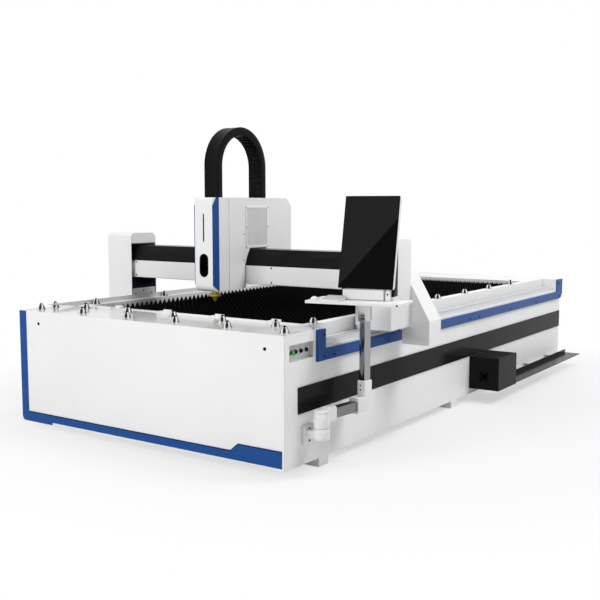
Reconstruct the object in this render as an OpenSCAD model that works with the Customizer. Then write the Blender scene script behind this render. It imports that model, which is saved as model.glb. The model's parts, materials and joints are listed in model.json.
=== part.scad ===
// Open flatbed fiber laser cutting machine: slat bed, moving gantry, cutting head and swing-arm console.
// X runs across the bed, Y from the front panel to the rear, Z up from the floor.

/* [Bed] */
// Width of the bed over its side faces
body_w = 2000; // [1940:10:2300]
// Length of the bed from the front panel to the rear
body_l = 4220; // [4000:10:4800]
// Height of the bed from its bottom edge to the deck
body_h = 691; // [660:1:760]
// Height of the floor blocks
foot_h = 50; // [30:1:120]
// Length of a floor block along the bed
foot_l = 90; // [60:1:160]
// Width of a floor block
foot_w = 180; // [60:1:220]
// Depth of the full-width front block
front_block_l = 350; // [345:1:420]
// Depth of the sill between the front block and the slats
sill_l = 80; // [60:1:120]
// Depth of the rear deck
rear_deck_l = 470; // [420:1:560]
// Depth of the rear side posts
rear_post_l = 120; // [80:1:140]
// Width of the side beams with the drive channels
channel_w = 120; // [118:1:140]
// Width of the inner bed walls
wall_w = 60; // [54:1:62]
// Drop from the deck to the floor of the drive channels
channel_drop = 96; // [94:1:110]
// Plate thickness of the welded bed
plate_t = 8; // [5:0.5:12]
// Thickness of the front panel
panel_t = 3; // [2:0.5:4]
// Radius of the two holes in the front panel
panel_hole_r = 8; // [4:0.5:12]

/* [Trim] */
// Thickness of the front trim
front_trim_t = 4; // [2:0.5:8]
// Width of the upright front trim strip
front_strip_w = 58; // [40:1:90]
// Height of the bottom front trim strip
front_strip_h = 63; // [40:1:90]
// Height of the raised end of the front trim
front_raised_h = 105; // [80:1:140]
// Length of the raised end of the front trim
front_raised_l = 293; // [200:1:420]
// Height of the white lip under the front trim
front_lip_h = 16; // [8:1:24]
// Thickness of the side trims
side_trim_t = 12; // [8:1:30]
// Height of the side trims' long band
side_trim_h = 60; // [50:1:62]
// Width of the side trims' front upright
side_upright_l = 77; // [60:1:120]
// Height of the black side bands
band_h = 138; // [100:1:140]
// Thickness of the black side bands
band_t = 5; // [2:0.5:8]

/* [Table] */
// Distance from slat to slat
slat_pitch = 45; // [40:1:70]
// Thickness of a slat
slat_t = 4; // [3:0.5:6]
// Height of a slat
slat_h = 168; // [140:1:180]
// Depth of the slat teeth
tooth_h = 36; // [20:1:50]
// Number of teeth on a slat
tooth_n = 18; // [12:1:18]
// Radius of a transfer ball
ball_r = 11; // [8:0.5:13]
// Base radius of a ball cup
cup_r = 25; // [22:0.5:27]

/* [Gantry] */
// Distance from the front panel to the beam's front face at rest
gantry_y = 900; // [880:1:940]
// Height of the saddles
saddle_h = 59; // [40:1:80]
// Height of the risers on the saddles
riser_h = 80; // [60:1:110]
// Depth of the beam
beam_d = 185; // [180:1:190]
// Height of the beam
beam_h = 110; // [108:1:114]
// Wall thickness of the beam
beam_t = 8; // [5:0.5:12]
// Height of the end covers
cover_h = 521; // [500:1:580]
// Sheet thickness of all covers
sheet_t = 3; // [2:0.5:4]

/* [Drives] */
// Module of the racks and pinions
gear_m = 4; // [3.8:0.1:4]
// Teeth on a pinion
pinion_teeth = 18; // [17:1:18]
// Radius of a pinion shaft
shaft_r = 12; // [8:0.5:14]
// Radius of a drive motor
motor_r = 40; // [30:1:42]

/* [Carriage] */
// Width of the carriage over its covers
carriage_w = 139; // [136:1:150]
// Height of the carriage top above the floor
carriage_top = 1430; // [1420:1:1500]
// Width of the oval window
window_w = 70; // [50:1:80]
// Height of the oval window
window_h = 143; // [110:1:160]
// Outer bend radius of the cable chain
chain_r = 247; // [230:1:260]
// Thickness of the cable chain
chain_t = 52; // [40:1:60]
// Width of the cable chain
chain_w = 100; // [80:1:110]
// Clear height of the nozzle tip above the slats at rest
nozzle_gap = 65; // [62:1:80]

/* [Console] */
// Radius of the arm post
post_r = 42; // [38:1:54]
// Angle of the arm from the bed's length
arm_yaw = 5.3; // [0:0.1:10]
// Distance from the post to the mast
arm_reach = 377; // [360:1:420]
// Width of the console tray
tray_w = 515; // [480:1:530]
// Depth of the console tray
tray_d = 253; // [240:1:270]
// Angle of the tray from the bed's width
tray_yaw = 10; // [8:0.5:12]
// Height of the tray's underside above the floor
tray_z = 873; // [860:1:900]
// Width of the screen
screen_w = 305; // [270:1:320]
// Height of the screen
screen_h = 498; // [440:1:510]
// Lean of the screen from upright
screen_lean = 13; // [5:0.5:14]

/* [Hidden] */
$fn = 48;

// Fits: running shaft, sliding guide, joint between welded boxes
shaft_gap = 0.05;
slide_gap = 0.3;
weld_gap = 0.2;
// Overshoot of a cut past the face that it opens
cut = 1;

// Colours
white = [0.93, 0.93, 0.93];
blue = [0.17, 0.31, 0.54];
black = [0.13, 0.13, 0.13];
grey = [0.62, 0.63, 0.64];
navy = [0.03, 0.05, 0.2];
steel = [0.75, 0.76, 0.78];
brass = [0.63, 0.54, 0.16];
green = [0.1, 0.62, 0.12];

// Bed: half width, deck height, channel floor and the slat opening
half_w = body_w / 2;
deck_z = foot_h + body_h;
channel_z = deck_z - channel_drop;
wall_out = half_w - channel_w;
wall_in = wall_out - wall_w;
bed_w = 2 * wall_in;
bed_y0 = front_block_l + sill_l;
bed_y1 = body_l - rear_deck_l;
channel_y1 = body_l - rear_post_l;
panel_hole_in = 145;
panel_hole_x = half_w - panel_hole_in;
panel_hole_drop = 75;
panel_hole_shift = 27;

// Floor blocks along each side
foot_front = 365;
foot_mid_shift = 87;
foot_rear = 539;
foot_ys = [foot_front, body_l / 2 - foot_mid_shift, body_l - foot_rear];

// Side bands and side trims
band_drop = 418;
band_z = deck_z - band_drop;
band_y0 = 120;
band_joint_rear = 1920;
band_joint = body_l - band_joint_rear;
band_joint_gap = 4;
trim_drop = 170;
trim_z = deck_z - trim_drop;
trim_top_drop = 3;
trim_top = deck_z - trim_top_drop;
trim_y0 = 289;
trim_rear_l = 134;
trim_over = 40;
trim_chamfer = 40;
trim_corner_r = 30;
lip_start = 270;
trim_margin = 13;
raised_slope = 50;

// Slats, their supports and the scrap tray
slat_drop = 12;
slat_tip_z = deck_z - slat_drop;
slat_z0 = slat_tip_z - slat_h;
slat_end_gap = 3;
slat_n = floor((bed_y1 - bed_y0) / slat_pitch);
rest_h = 40;
rest_w = 30;
tube = 60;
tube_t = 5;
tube_n = 8;
rest_n = 5;
tray_side_gap = 40;
scrap_h = 150;

// Ball transfer units: places along the rows and walls
ball_z = 27;
cup_top_r = 15;
cup_h = 30;
cup_flange_h = 4;
cup_flange_w = 1;
pocket_gap = 0.3;
front_row_y = 93;
ball_edge = 75;
front_row_half_pitch = (half_w - ball_edge) / 5;
front_row_shift = 13;
front_row_x = [for (i = [-5 : 2 : 5]) front_row_shift + i * front_row_half_pitch];
second_row_y = 268;
second_row_shift = 27;
second_row_edge = 270;
second_row_pitch = (half_w - second_row_edge) / 2;
second_row_x = [for (i = [-2 : 2]) second_row_shift + i * second_row_pitch];
corner_ball_y = 215;
corner_ball = [ball_edge - half_w, corner_ball_y];
wall_ball_x = wall_in + wall_w / 2;
wall_ball_first = 490;
wall_ball_second = 1140;
wall_ball_rear = 330;
wall_ball_pitch = (bed_y1 - wall_ball_rear - wall_ball_second) / 5;
wall_ball_y = concat([wall_ball_first], [for (i = [0 : 5]) wall_ball_second + i * wall_ball_pitch]);
ball_places = concat(
    [for (x = front_row_x) [x, front_row_y]],
    [for (x = second_row_x) [x, second_row_y]],
    [corner_ball],
    [for (y = wall_ball_y) for (s = [-1, 1]) [s * wall_ball_x, y]]
);

// Sheet clamps
clamp_n = 4;
clamp_shift = 40;
clamp_edge = 20;
clamp_pitch = (bed_w - clamp_edge) / 4;
clamp_w = 62;
clamp_l = 70;
clamp_h = 14;
clamp_t = 8;

// Rails and racks in the drive channels
rail_in = 45;
rail_x = wall_out + rail_in;
rail_w = 30;
rail_h = 26;
rail_waist = 4;
rail_neck = [0.35, 0.5, 0.65];
rail_end = 10;
rack_w = 25;
rack_h = 26;
rack_step = 35;
rack_x0 = rail_x + rack_step;
guard_t = 4;
guard_h = 29;
guard_y0 = 100;

// Pinions: pitch radius, tip radius and the play between the teeth
pitch_r = gear_m * pinion_teeth / 2;
tip_r = pitch_r + gear_m;
root_depth = 1.25;
root_r = pitch_r - root_depth * gear_m;
pressure = 20;
base_r = pitch_r * cos(pressure);
tooth_play = 0.4;
tooth_pitch = PI * gear_m;
mesh_gap = 0.15;

// Button recess in the right side of the front block
recess_y0 = 46;
button_first = 94;
black_first = 128;
button_pitch = 49;
button_end = 40;
button_ys = concat([button_first], [for (i = [0 : 2]) black_first + i * button_pitch]);
recess_l = button_ys[3] + button_end - recess_y0;
recess_drop = 55;
recess_h = 86;
recess_y = [recess_y0, recess_y0 + recess_l];
recess_z = [deck_z - recess_drop - recess_h, deck_z - recess_drop];
recess_d = 25;
pan_t = 2;
button_z = (recess_z[0] + recess_z[1]) / 2;
switch_y = 62;
button_r = 11;
stem_r = 8;
ring_w = 3;
ring_h = 4;
button_lift = 5;
cap_h = 7;
start_cap_h = 14;
stem_l = 12;
collar_r = 10;
collar_t = 3;
recess_x = half_w - recess_d;

// Cable box and trough on the right side
box_w = 219;
box_y0 = 2275;
box_l = 340;
box_y = [box_y0, box_y0 + box_l];
box_z0 = 92;
box_h = 228;
box_z = [box_z0, box_z0 + box_h];
box_t = 4;
box_window_in = 79;
box_window_w = 63;
box_window_lift = 62;
box_window_h = 61;
box_window_x = [half_w + box_window_in, half_w + box_window_in + box_window_w];
box_window_z = [box_z0 + box_window_lift, box_z0 + box_window_lift + box_window_h];
gland_r = 26;
gland_bore_r = 18;
gland_l = 30;
gland_rim = 8;
trough_rear = 70;
trough_y1 = body_l - trough_rear;
trough_in = 86;
trough_z = 98;
trough_t = 4;
trough_flange = 32;
trough_arm_w = 50;
trough_arm_n = 3;

// Gantry: saddle, riser, beam and covers
saddle_front = 20;
saddle_l = 218;
saddle_y = [gantry_y - saddle_front, gantry_y - saddle_front + saddle_l];
saddle_mid = (saddle_y[0] + saddle_y[1]) / 2;
saddle_lift = 10;
saddle_z = deck_z + saddle_lift;
riser_z = saddle_z + saddle_h;
beam_z = riser_z + riser_h;
beam_top = beam_z + beam_h;
beam_plate_t = 5;
beam_y = [gantry_y + beam_plate_t, gantry_y + beam_plate_t + beam_d];
plate_rise = 6;
plate_top = beam_top + plate_rise;
cover_clear = 21;
cover_in = wall_out + cover_clear;
cover_over = 127;
cover_out = half_w + cover_over;
cover_front = 31;
cover_l = 241;
cover_y = [gantry_y - cover_front, gantry_y - cover_front + cover_l];
cover_drop = 69;
cover_z = deck_z - cover_drop;
cover_top = cover_z + cover_h;
cover_front_cut = [25, 38];
cover_rear_cut = [45, 33];
cheek_gap = 14;
block_l = 70;
block_w = 60;
block_lift = 8;
block_h = 37;
block_z = [channel_z + block_lift, channel_z + block_lift + block_h];
leg_inset = 2;
motor_plate_t = 12;
motor_plate_w = 100;
motor_l = 115;
motor_bore_l = 20;
pinion_z = channel_z + rack_h - gear_m + pitch_r + mesh_gap;
pinion_side = 2;
flange_t = 10;

// Beam hood: front lean, chamfer and top
hood_lean_y = 25;
hood_lean_h = 66;
hood_chamfer = 36;
hood_rear_in = 5;
hood_rear = beam_y[1] - hood_rear_in;
hood_top = plate_top + hood_lean_h + hood_chamfer;
hood_end_gap = 6;
hood_end_x = wall_out + hood_end_gap;
hood_end_t = 4;

// Cable arm on the right end of the gantry
arm_box_in = 73;
arm_box_w = 176;
arm_box_x = [half_w + arm_box_in, half_w + arm_box_in + arm_box_w];
arm_box_l = 154;
arm_box_drop = 174;
arm_box_z = deck_z - arm_box_drop;
arm_knee_h = 144;
arm_slope_x = 164;
arm_slope_h = 282;

// Carriage: rails on the beam, C-shaped frame, cover and hood
xrail_w = 25;
xrail_h = 22;
xrail_first = 45;
xrail_step = 95;
xrail_ys = [beam_y[0] + xrail_first, beam_y[0] + xrail_first + xrail_step];
xrail_half = wall_out;
xrack_d = 22;
xrack_drop = 58;
xrack_z = beam_top - xrack_drop;
xpinion_z = xrack_z + rack_h - gear_m + pitch_r + mesh_gap;
xpinion_in = 3;
xpinion_w = 18;
xpinion_y = [beam_y[1] + xpinion_in, beam_y[1] + xpinion_in + xpinion_w];
xblock_l = 50;
xblock_w = 48;
xblock_lift = 6;
xblock_h = 40;
xblock_z = [beam_top + xblock_lift, beam_top + xblock_lift + xblock_h];
half_c = carriage_w / 2;
frame_half = half_c - sheet_t;
frame_t = 16;
web_gap = 25;
web_t = 15;
web_y = [beam_y[1] + web_gap, beam_y[1] + web_gap + web_t];
web_drop = 60;
web_z = beam_top - web_drop;
deck_plate_gap = 24;
deck_plate_z = hood_top + deck_plate_gap;
front_plate_gap = 127;
front_plate_t = 18;
front_plate_y = [gantry_y - front_plate_gap - front_plate_t, gantry_y - front_plate_gap];
front_plate_lift = 10;
front_plate_h = 400;
front_plate_z = [beam_z + front_plate_lift, beam_z + front_plate_lift + front_plate_h];
shelf_l = 41;
shelf_y = front_plate_y[0] - shelf_l;
shelf_t = 10;
seam_gap = 163;
seam_y = gantry_y - seam_gap;
hood_l = 161;
hood_y = seam_y - hood_l;
cover_back = 500;
cover_rear = gantry_y + cover_back;
cover_rear_lift = 40;
cover_rear_z = beam_z + cover_rear_lift;
cover_low = 28;
cover_low_z = beam_z - cover_low;
cover_gap = 6;
cover_chamfer = [53, 49];
hood_round = 26;
hood_low = 12;
hood_low_z = beam_z - hood_low;
window_lift = 130;
window_z = beam_z + window_lift;
slot_lift = 274;
slot_h = 168;
slot_z = [beam_z + slot_lift, beam_z + slot_lift + slot_h];
slot_w = 10;
vent_l = 240;
vent_y = [gantry_y, gantry_y + vent_l];
vent_h = 264;
vent_z = [hood_top + cover_gap, hood_top + cover_gap + vent_h];
vent_t = 2;
vent_rim = 18;
vent_cols = 8;
vent_rows = 11;
vent_hole_r = 10;
strip_t = 3;
strip_l = 60;
strip_slant = 50;
chain_shift = 5;
chain_y = gantry_y - chain_shift;
chain_leg_h = 189;
chain_z = carriage_top + chain_leg_h;
chain_links = 16;
chain_leg_links = 4;
chain_core_in = 4;
chain_groove = 5;
xmotor_l = 160;
lift_motor_h = 100;
lift_motor_w = 60;

// Cutting head and its lift
lift_rail_x = [27, 43];
lift_rail_h = 20;
lift_rail_lift = 40;
lift_rail_end = 10;
lift_rail_z = [beam_z + lift_rail_lift, front_plate_z[1] - shelf_t - lift_rail_end];
lift_plate_half = 50;
lift_plate_t = 17;
lift_plate_lift = 110;
lift_plate_h = 150;
lift_plate_z = [beam_z + lift_plate_lift, beam_z + lift_plate_lift + lift_plate_h];
head_reach = 219;
head_y = gantry_y - head_reach;
head_half = 32;
head_r = 32;
head_rise = 10;
head_z = beam_z + head_rise;
head_h = 190;
collimator_h = 150;
collar_h = 14;
nozzle_tip_z = slat_tip_z + nozzle_gap;
nozzle_r = 36;
nozzle_neck_r = 22;
nozzle_tip_r = 5;
nozzle_bore_r = 1.5;
nozzle_cone_h = 30;
nozzle_rim_h = 18;
nozzle_top_h = 20;
nozzle_h = nozzle_cone_h + nozzle_rim_h + nozzle_top_h;
nozzle_edge = 3;
head_low_r = 26;

// Console: wall bracket, post, arm and mast
post_out = 90;
post_x = half_w + post_out;
post_y = 205;
post_z = 190;
post_h = 58;
bracket_y = [156, 255];
bracket_z = [153, 258];
bracket_t = 12;
bracket_neck = 35;
bracket_neck_z = [196, 234];
pin_r = 20;
pin_h = 82;
knuckle_h = 92;
neck_half = 28;
neck_z = [273, 353];
neck_y = [20, 90];
arm_half = 25;
arm_z = [286, 340];
arm_t = 4;
elbow_half = 27;
elbow_flange = 8;
elbow_flange_half = 33;
elbow_z = [276, 442];
elbow_d = 66;
elbow_round = 64;
elbow_socket = 58;
elbow_rim = 16;
mast_size = [40, 53];
mast_head_h = 109;
mast_head_size = [48, 66];
mast_head_z = tray_z - mast_head_h;

// Tray, monitor base and monitor; the tray stands on the mast, its centre beside it and in front of it
tray_beside = 26;
tray_before = 111;
tray_mid = [
    post_x + arm_reach * sin(arm_yaw) + tray_beside,
    post_y + arm_reach * cos(arm_yaw) - tray_before
];
tray_t = 14;
tray_sheet = 2;
tray_top = tray_z + tray_t;
tab_w = 17;
tab_t = 3;
tab_h = 130;
base_u = [-101, 127];
base_v = [22, 92];
base_h = 54;
monitor_u = 27;
monitor_v = 14;
monitor_gap = 6;
monitor_z = tray_top + base_h + monitor_gap;
screen_t = 6;
case_t = 40;
case_inset = 4;
case_chamfer = 14;
tilt_v = 94;
tilt_rise = 49;
tilt_z = tray_top + base_h + tilt_rise;
tilt_pin_r = 6;
tilt_boss_r = 12;
ear_t = 10;
ear_half_v = 15;
lug_half = 40;
key_u = [-180, -78];
key_v = [-105, 5];
key_h = [8, 16];
mouse_u = [-250, -212];
mouse_v = [-92, -22];
mouse_h = 18;
mouse_edge_a = 20;
mouse_steps = 8;

// Origin under the middle of the whole machine
tray_corner_x = tray_mid[0] + tray_w / 2 * cos(tray_yaw) + tray_d / 2 * sin(tray_yaw);
origin_x = (tray_corner_x - cover_out) / 2;
origin_y = (body_l + trim_over - front_trim_t) / 2;

// A box between two corners
module block(x, y, z) translate([x[0], y[0], z[0]]) cube([x[1] - x[0], y[1] - y[0], z[1] - z[0]]);

// A closed box of plate
module hollow(x, y, z, t) difference() {
    block(x, y, z);
    block([x[0] + t, x[1] - t], [y[0] + t, y[1] - t], [z[0] + t, z[1] - t]);
}

// An outline in Y and Z drawn out along X
module along_x(x, points) translate([x[0], 0, 0]) rotate([90, 0, 90])
    linear_extrude(x[1] - x[0]) polygon(points);

// An outline in X and Z drawn out along Y
module along_y(y, points) translate([0, y[1], 0]) rotate([90, 0, 0])
    linear_extrude(y[1] - y[0]) polygon(points);

// Round bars along X and along Y
module bar_x(x, y, z, r) translate([x[0], y, z]) rotate([0, 90, 0]) cylinder(r = r, h = x[1] - x[0]);
module bar_y(x, y, z, r) translate([x, y[0], z]) rotate([-90, 0, 0]) cylinder(r = r, h = y[1] - y[0]);

module both_sides() {
    children();
    mirror([1, 0, 0]) children();
}

// Frames of the machine, the swing arm, the tray and the screen
module place() translate([-origin_x, -origin_y, 0]) children();
module place_arm() place() translate([post_x, post_y, 0]) rotate([0, 0, -arm_yaw]) children();
module place_tray() place() translate([tray_mid[0], tray_mid[1], 0]) rotate([0, 0, tray_yaw]) children();
module place_screen() place_tray() translate([monitor_u, monitor_v, monitor_z])
    rotate([-screen_lean, 0, 0]) children();

// Points of a quarter round about a centre, from one angle to another
function arc(c, r, a0, a1, n = 6) = [for (i = [0 : n]) let (a = a0 + (a1 - a0) * i / n)
    [c[0] + r * cos(a), c[1] + r * sin(a)]];

// Half angle of an involute pinion tooth at a radius
function involute(a) = tan(a) * 180 / PI - a;
function half_tooth(r) = 90 / pinion_teeth - tooth_play / 2 / pitch_r * 180 / PI
    + involute(pressure) - involute(acos(min(1, base_r / r)));
flank_radii = [root_r, base_r, (base_r + pitch_r) / 2, pitch_r, (pitch_r + tip_r) / 2, tip_r];
function tooth_points(a) = concat(
    [for (r = flank_radii) let (b = a - half_tooth(max(r, base_r))) [r * cos(b), r * sin(b)]],
    [for (i = [len(flank_radii) - 1 : -1 : 0]) let (r = flank_radii[i], b = a + half_tooth(max(r, base_r)))
        [r * cos(b), r * sin(b)]]
);
pinion_points = [for (i = [0 : pinion_teeth - 1]) each tooth_points(-90 + (i + 0.5) * 360 / pinion_teeth)];

// Points of a toothed rack from a to b with a tooth at m, its tips at height h
function rack_points(a, b, m, h) =
    let (
        low = h - (1 + root_depth) * gear_m,
        half_low = (tooth_pitch / 2 - tooth_play) / 2 + root_depth * gear_m * tan(pressure),
        half_tip = (tooth_pitch / 2 - tooth_play) / 2 - gear_m * tan(pressure),
        first = ceil((a - m + half_low) / tooth_pitch),
        last = floor((b - m - half_low) / tooth_pitch)
    )
    concat(
        [[a, 0], [a, low]],
        [for (i = [first : last]) let (c = m + i * tooth_pitch)
            each [[c - half_low, low], [c - half_tip, h], [c + half_tip, h], [c + half_low, low]]],
        [[b, low], [b, 0]]
    );

// Section of a linear rail with a waist, from its middle and foot
function rail_section(x, z, w, h) = [
    [x - w / 2, z], [x + w / 2, z], [x + w / 2, z + h * rail_neck[0]],
    [x + w / 2 - rail_waist, z + h * rail_neck[1]], [x + w / 2, z + h * rail_neck[2]], [x + w / 2, z + h],
    [x - w / 2, z + h], [x - w / 2, z + h * rail_neck[2]],
    [x - w / 2 + rail_waist, z + h * rail_neck[1]], [x - w / 2, z + h * rail_neck[0]]
];

// Bed

module front_cabinet() color(white) place() difference() {
    hollow([-half_w, half_w], [panel_t, front_block_l], [foot_h, deck_z], plate_t);
    block([half_w - plate_t - cut, half_w + cut], recess_y, recess_z);
    for (s = [-1, 1])
        bar_y(panel_hole_shift + s * panel_hole_x, [0, panel_t + plate_t + cut],
            deck_z - panel_hole_drop, panel_hole_r);
}

module front_panel() color(white) place() difference() {
    block([-half_w, half_w], [0, panel_t], [foot_h, deck_z]);
    for (s = [-1, 1])
        bar_y(panel_hole_shift + s * panel_hole_x, [-cut, panel_t + cut],
            deck_z - panel_hole_drop, panel_hole_r);
}

module front_trim() color(blue) place() along_y([-front_trim_t, 0], concat(
    [[-half_w, deck_z - panel_t]],
    arc([-half_w + trim_corner_r, foot_h + trim_corner_r], trim_corner_r, 180, 270),
    [
        [-half_w + lip_start, foot_h], [-half_w + lip_start, foot_h + front_lip_h],
        [half_w - trim_margin, foot_h + front_lip_h], [half_w - trim_margin, foot_h + front_raised_h],
        [half_w - front_raised_l, foot_h + front_raised_h],
        [half_w - front_raised_l - raised_slope, foot_h + front_strip_h],
        [-half_w + front_strip_w, foot_h + front_strip_h], [-half_w + front_strip_w, deck_z - panel_t]
    ]
));

module rear_cabinet() color(white) place() {
    hollow([-wall_out, wall_out], [bed_y1, body_l], [foot_h, deck_z], plate_t);
    both_sides()
        hollow([wall_out + weld_gap, half_w], [channel_y1, body_l], [foot_h, deck_z], plate_t);
}

module side_beams() color(white) place() both_sides()
    hollow([wall_out, half_w], [front_block_l, channel_y1], [foot_h, channel_z], plate_t);

module bed_walls() color(white) place() {
    both_sides() hollow([wall_in, wall_out], [front_block_l, bed_y1], [foot_h, deck_z], plate_t);
    hollow([-wall_in + weld_gap, wall_in - weld_gap], [front_block_l, bed_y0], [foot_h, deck_z], plate_t);
}

// Cross tubes with rest bars for the slats, and cross tubes at the bottom edge for the scrap tray
module slat_frame() color(grey) place() {
    tube_step = (bed_y1 - bed_y0 - tube) / (tube_n - 1);
    rest_step = (bed_w - rest_w) / (rest_n - 1);
    rest_z = slat_z0 - rest_h;
    for (i = [0 : tube_n - 1]) let (y = bed_y0 + i * tube_step) {
        hollow([-wall_in, wall_in], [y, y + tube], [rest_z - tube, rest_z - weld_gap], tube_t);
        hollow([-wall_in, wall_in], [y, y + tube], [foot_h, foot_h + tube], tube_t);
    }
    for (i = [0 : rest_n - 1]) let (x = -wall_in + i * rest_step)
        block([x, x + rest_w], [bed_y0, bed_y1], [rest_z, slat_z0]);
}

module side_bands() color(black) place() both_sides() {
    block([half_w, half_w + band_t], [band_y0, band_joint - band_joint_gap / 2], [band_z, band_z + band_h]);
    block([half_w, half_w + band_t], [band_joint + band_joint_gap / 2, body_l], [band_z, band_z + band_h]);
}

module side_trims() color(blue) place() both_sides() let (
    rear = body_l + trim_over,
    upright = rear - trim_rear_l
) along_x([half_w, half_w + side_trim_t], [
    [trim_y0, trim_z], [rear - trim_chamfer, trim_z], [rear, trim_z + trim_chamfer], [rear, trim_top],
    [upright, trim_top], [upright, trim_z + side_trim_h],
    [trim_y0 + side_upright_l, trim_z + side_trim_h], [trim_y0 + side_upright_l, trim_top],
    [trim_y0, trim_top]
]);

module feet() color(white) place() both_sides() for (y = foot_ys)
    block([half_w - foot_w, half_w], [y - foot_l / 2, y + foot_l / 2], [0, foot_h]);

// Table

module slats() color(black) place() {
    half = wall_in - slat_end_gap;
    step = 2 * half / tooth_n;
    outline = concat(
        [[-half, slat_z0]], [[half, slat_z0]],
        [for (i = [tooth_n : -1 : 1]) let (x = -half + i * step)
            each [[x, slat_tip_z - tooth_h], [x - step / 2, slat_tip_z]]],
        [[-half, slat_tip_z - tooth_h]]
    );
    for (i = [0 : slat_n - 1]) let (y = bed_y0 + (i + 0.5) * slat_pitch)
        along_y([y - slat_t / 2, y + slat_t / 2], outline);
}

module scrap_tray() color(grey) place() let (
    x = wall_in - tray_side_gap,
    y = [bed_y0 + tray_side_gap, bed_y1 - tray_side_gap],
    z = foot_h + tube
) difference() {
    block([-x, x], y, [z, z + scrap_h]);
    block([-x + sheet_t, x - sheet_t], [y[0] + sheet_t, y[1] - sheet_t], [z + sheet_t, z + scrap_h + cut]);
}

module ball_cups() color(steel) place() for (p = ball_places) translate([p[0], p[1], deck_z]) difference() {
    union() {
        cylinder(r = cup_r, h = cup_flange_h);
        cylinder(r1 = cup_r - cup_flange_w, r2 = cup_top_r, h = cup_h);
    }
    translate([0, 0, ball_z]) sphere(r = ball_r + pocket_gap);
}

module transfer_balls() color(black) place() for (p = ball_places)
    translate([p[0], p[1], deck_z + ball_z]) sphere(r = ball_r);

// L-shaped stops on the sill, at the front edge of the slats
module sheet_clamps() color(white) place() for (i = [0 : clamp_n - 1])
    let (x = clamp_shift + (i - (clamp_n - 1) / 2) * clamp_pitch) difference() {
        block([x - clamp_w / 2, x + clamp_w / 2], [bed_y0 - clamp_l, bed_y0], [deck_z, deck_z + clamp_h]);
        block([x - clamp_w / 2 - cut, x + clamp_w / 2 + cut], [bed_y0 - clamp_l - cut, bed_y0 - clamp_t],
            [deck_z + clamp_t, deck_z + clamp_h + cut]);
        block([x - clamp_w / 6, x + clamp_w / 2 + cut],
            [bed_y0 - clamp_l - cut, bed_y0 - clamp_w / 2], [deck_z - cut, deck_z + clamp_h + cut]);
    }

module y_rails() color(steel) place() both_sides()
    along_y([front_block_l + rail_end, channel_y1 - rail_end],
        rail_section(rail_x, channel_z, rail_w, rail_h));

module y_racks() color(steel) place() both_sides() translate([0, 0, channel_z]) along_x(
    [rack_x0, rack_x0 + rack_w],
    rack_points(front_block_l + rail_end, channel_y1 - rail_end, saddle_mid, rack_h)
);

module rail_guard() color(grey) place()
    along_x([-wall_out, -wall_out + guard_t], [
        [front_block_l, deck_z], [bed_y1, deck_z], [bed_y1, deck_z + guard_h], [guard_y0, deck_z + guard_h]
    ]);

// Controls in the right side

module button_plate() color(grey) place() difference() {
    union() {
        difference() {
            block([recess_x - pan_t, half_w], recess_y, recess_z);
            block([recess_x, half_w + cut], [recess_y[0] + pan_t, recess_y[1] - pan_t],
                [recess_z[0] + pan_t, recess_z[1] - pan_t]);
        }
        for (y = concat([switch_y], button_ys))
            bar_x([recess_x, recess_x + ring_h], y, button_z, button_r + ring_w);
    }
    for (y = button_ys) bar_x([recess_x, recess_x + ring_h + cut], y, button_z, button_r + slide_gap);
    for (y = concat([switch_y], button_ys))
        bar_x([recess_x - pan_t - cut, recess_x + ring_h + cut], y, button_z, stem_r + shaft_gap);
}

// A push button: cap, stem through the plate, and the collar behind it
module push_button(y, h) {
    bar_x([recess_x + button_lift, recess_x + button_lift + h], y, button_z, button_r);
    bar_x([recess_x - pan_t - stem_l, recess_x + button_lift + cut], y, button_z, stem_r);
    bar_x([recess_x - pan_t - collar_t, recess_x - pan_t], y, button_z, collar_r);
}

module main_switch() color(black) place() {
    bar_x([recess_x + ring_h, recess_x + ring_h + cap_h], switch_y, button_z, button_r);
    bar_x([recess_x - pan_t - stem_l, recess_x + ring_h + cut], switch_y, button_z, stem_r);
    bar_x([recess_x - pan_t - collar_t, recess_x - pan_t], switch_y, button_z, collar_r);
    block([recess_x + ring_h + cap_h - cut, recess_x + ring_h + 2 * cap_h],
        [switch_y - ring_w, switch_y + ring_w], [button_z - button_r + cut, button_z + button_r - cut]);
}

module start_button() color(green) place() push_button(button_ys[0], start_cap_h);
module stop_button() color(black) place() push_button(button_ys[1], cap_h);
module feed_button() color(black) place() push_button(button_ys[2], cap_h);
module reset_button() color(black) place() push_button(button_ys[3], cap_h);

// Cable box with a window and a gland behind it
module chain_box() color(black) place() {
    difference() {
        hollow([half_w, half_w + box_w], box_y, box_z, box_t);
        block(box_window_x, [box_y[0] - cut, box_y[0] + box_t + cut], box_window_z);
    }
    let (
        x = (box_window_x[0] + box_window_x[1]) / 2,
        z = (box_window_z[0] + box_window_z[1]) / 2,
        y = box_y[0] + box_t
    ) difference() {
        union() {
            block([box_window_x[0] - gland_rim, box_window_x[1] + gland_rim],
                [y + gland_l, y + gland_l + box_t],
                [box_window_z[0] - gland_rim, box_window_z[1] + gland_rim]);
            for (s = [0, 1]) block(
                [box_window_x[s] - (1 - s) * gland_rim, box_window_x[s] + s * gland_rim], [y, y + gland_l],
                [box_window_z[0] - gland_rim, box_window_z[1] + gland_rim]);
            bar_y(x, [y + cut, y + gland_l], z, gland_r);
        }
        bar_y(x, [y, y + gland_l + box_t + cut], z, gland_bore_r);
    }
}

module chain_trough() color(black) place() {
    x = [half_w + trough_in, half_w + box_w];
    block(x, [box_y[1], trough_y1], [trough_z, trough_z + trough_t]);
    block([x[0], x[0] + trough_t], [box_y[1], trough_y1], [trough_z, trough_z + trough_flange]);
    arm_step = (trough_y1 - box_y[1] - trough_arm_w) / trough_arm_n;
    for (i = [1 : trough_arm_n]) let (y = box_y[1] + (i - 0.5) * arm_step)
        block([half_w, x[0]], [y, y + trough_arm_w], [trough_z, trough_z + trough_t]);
}

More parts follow.
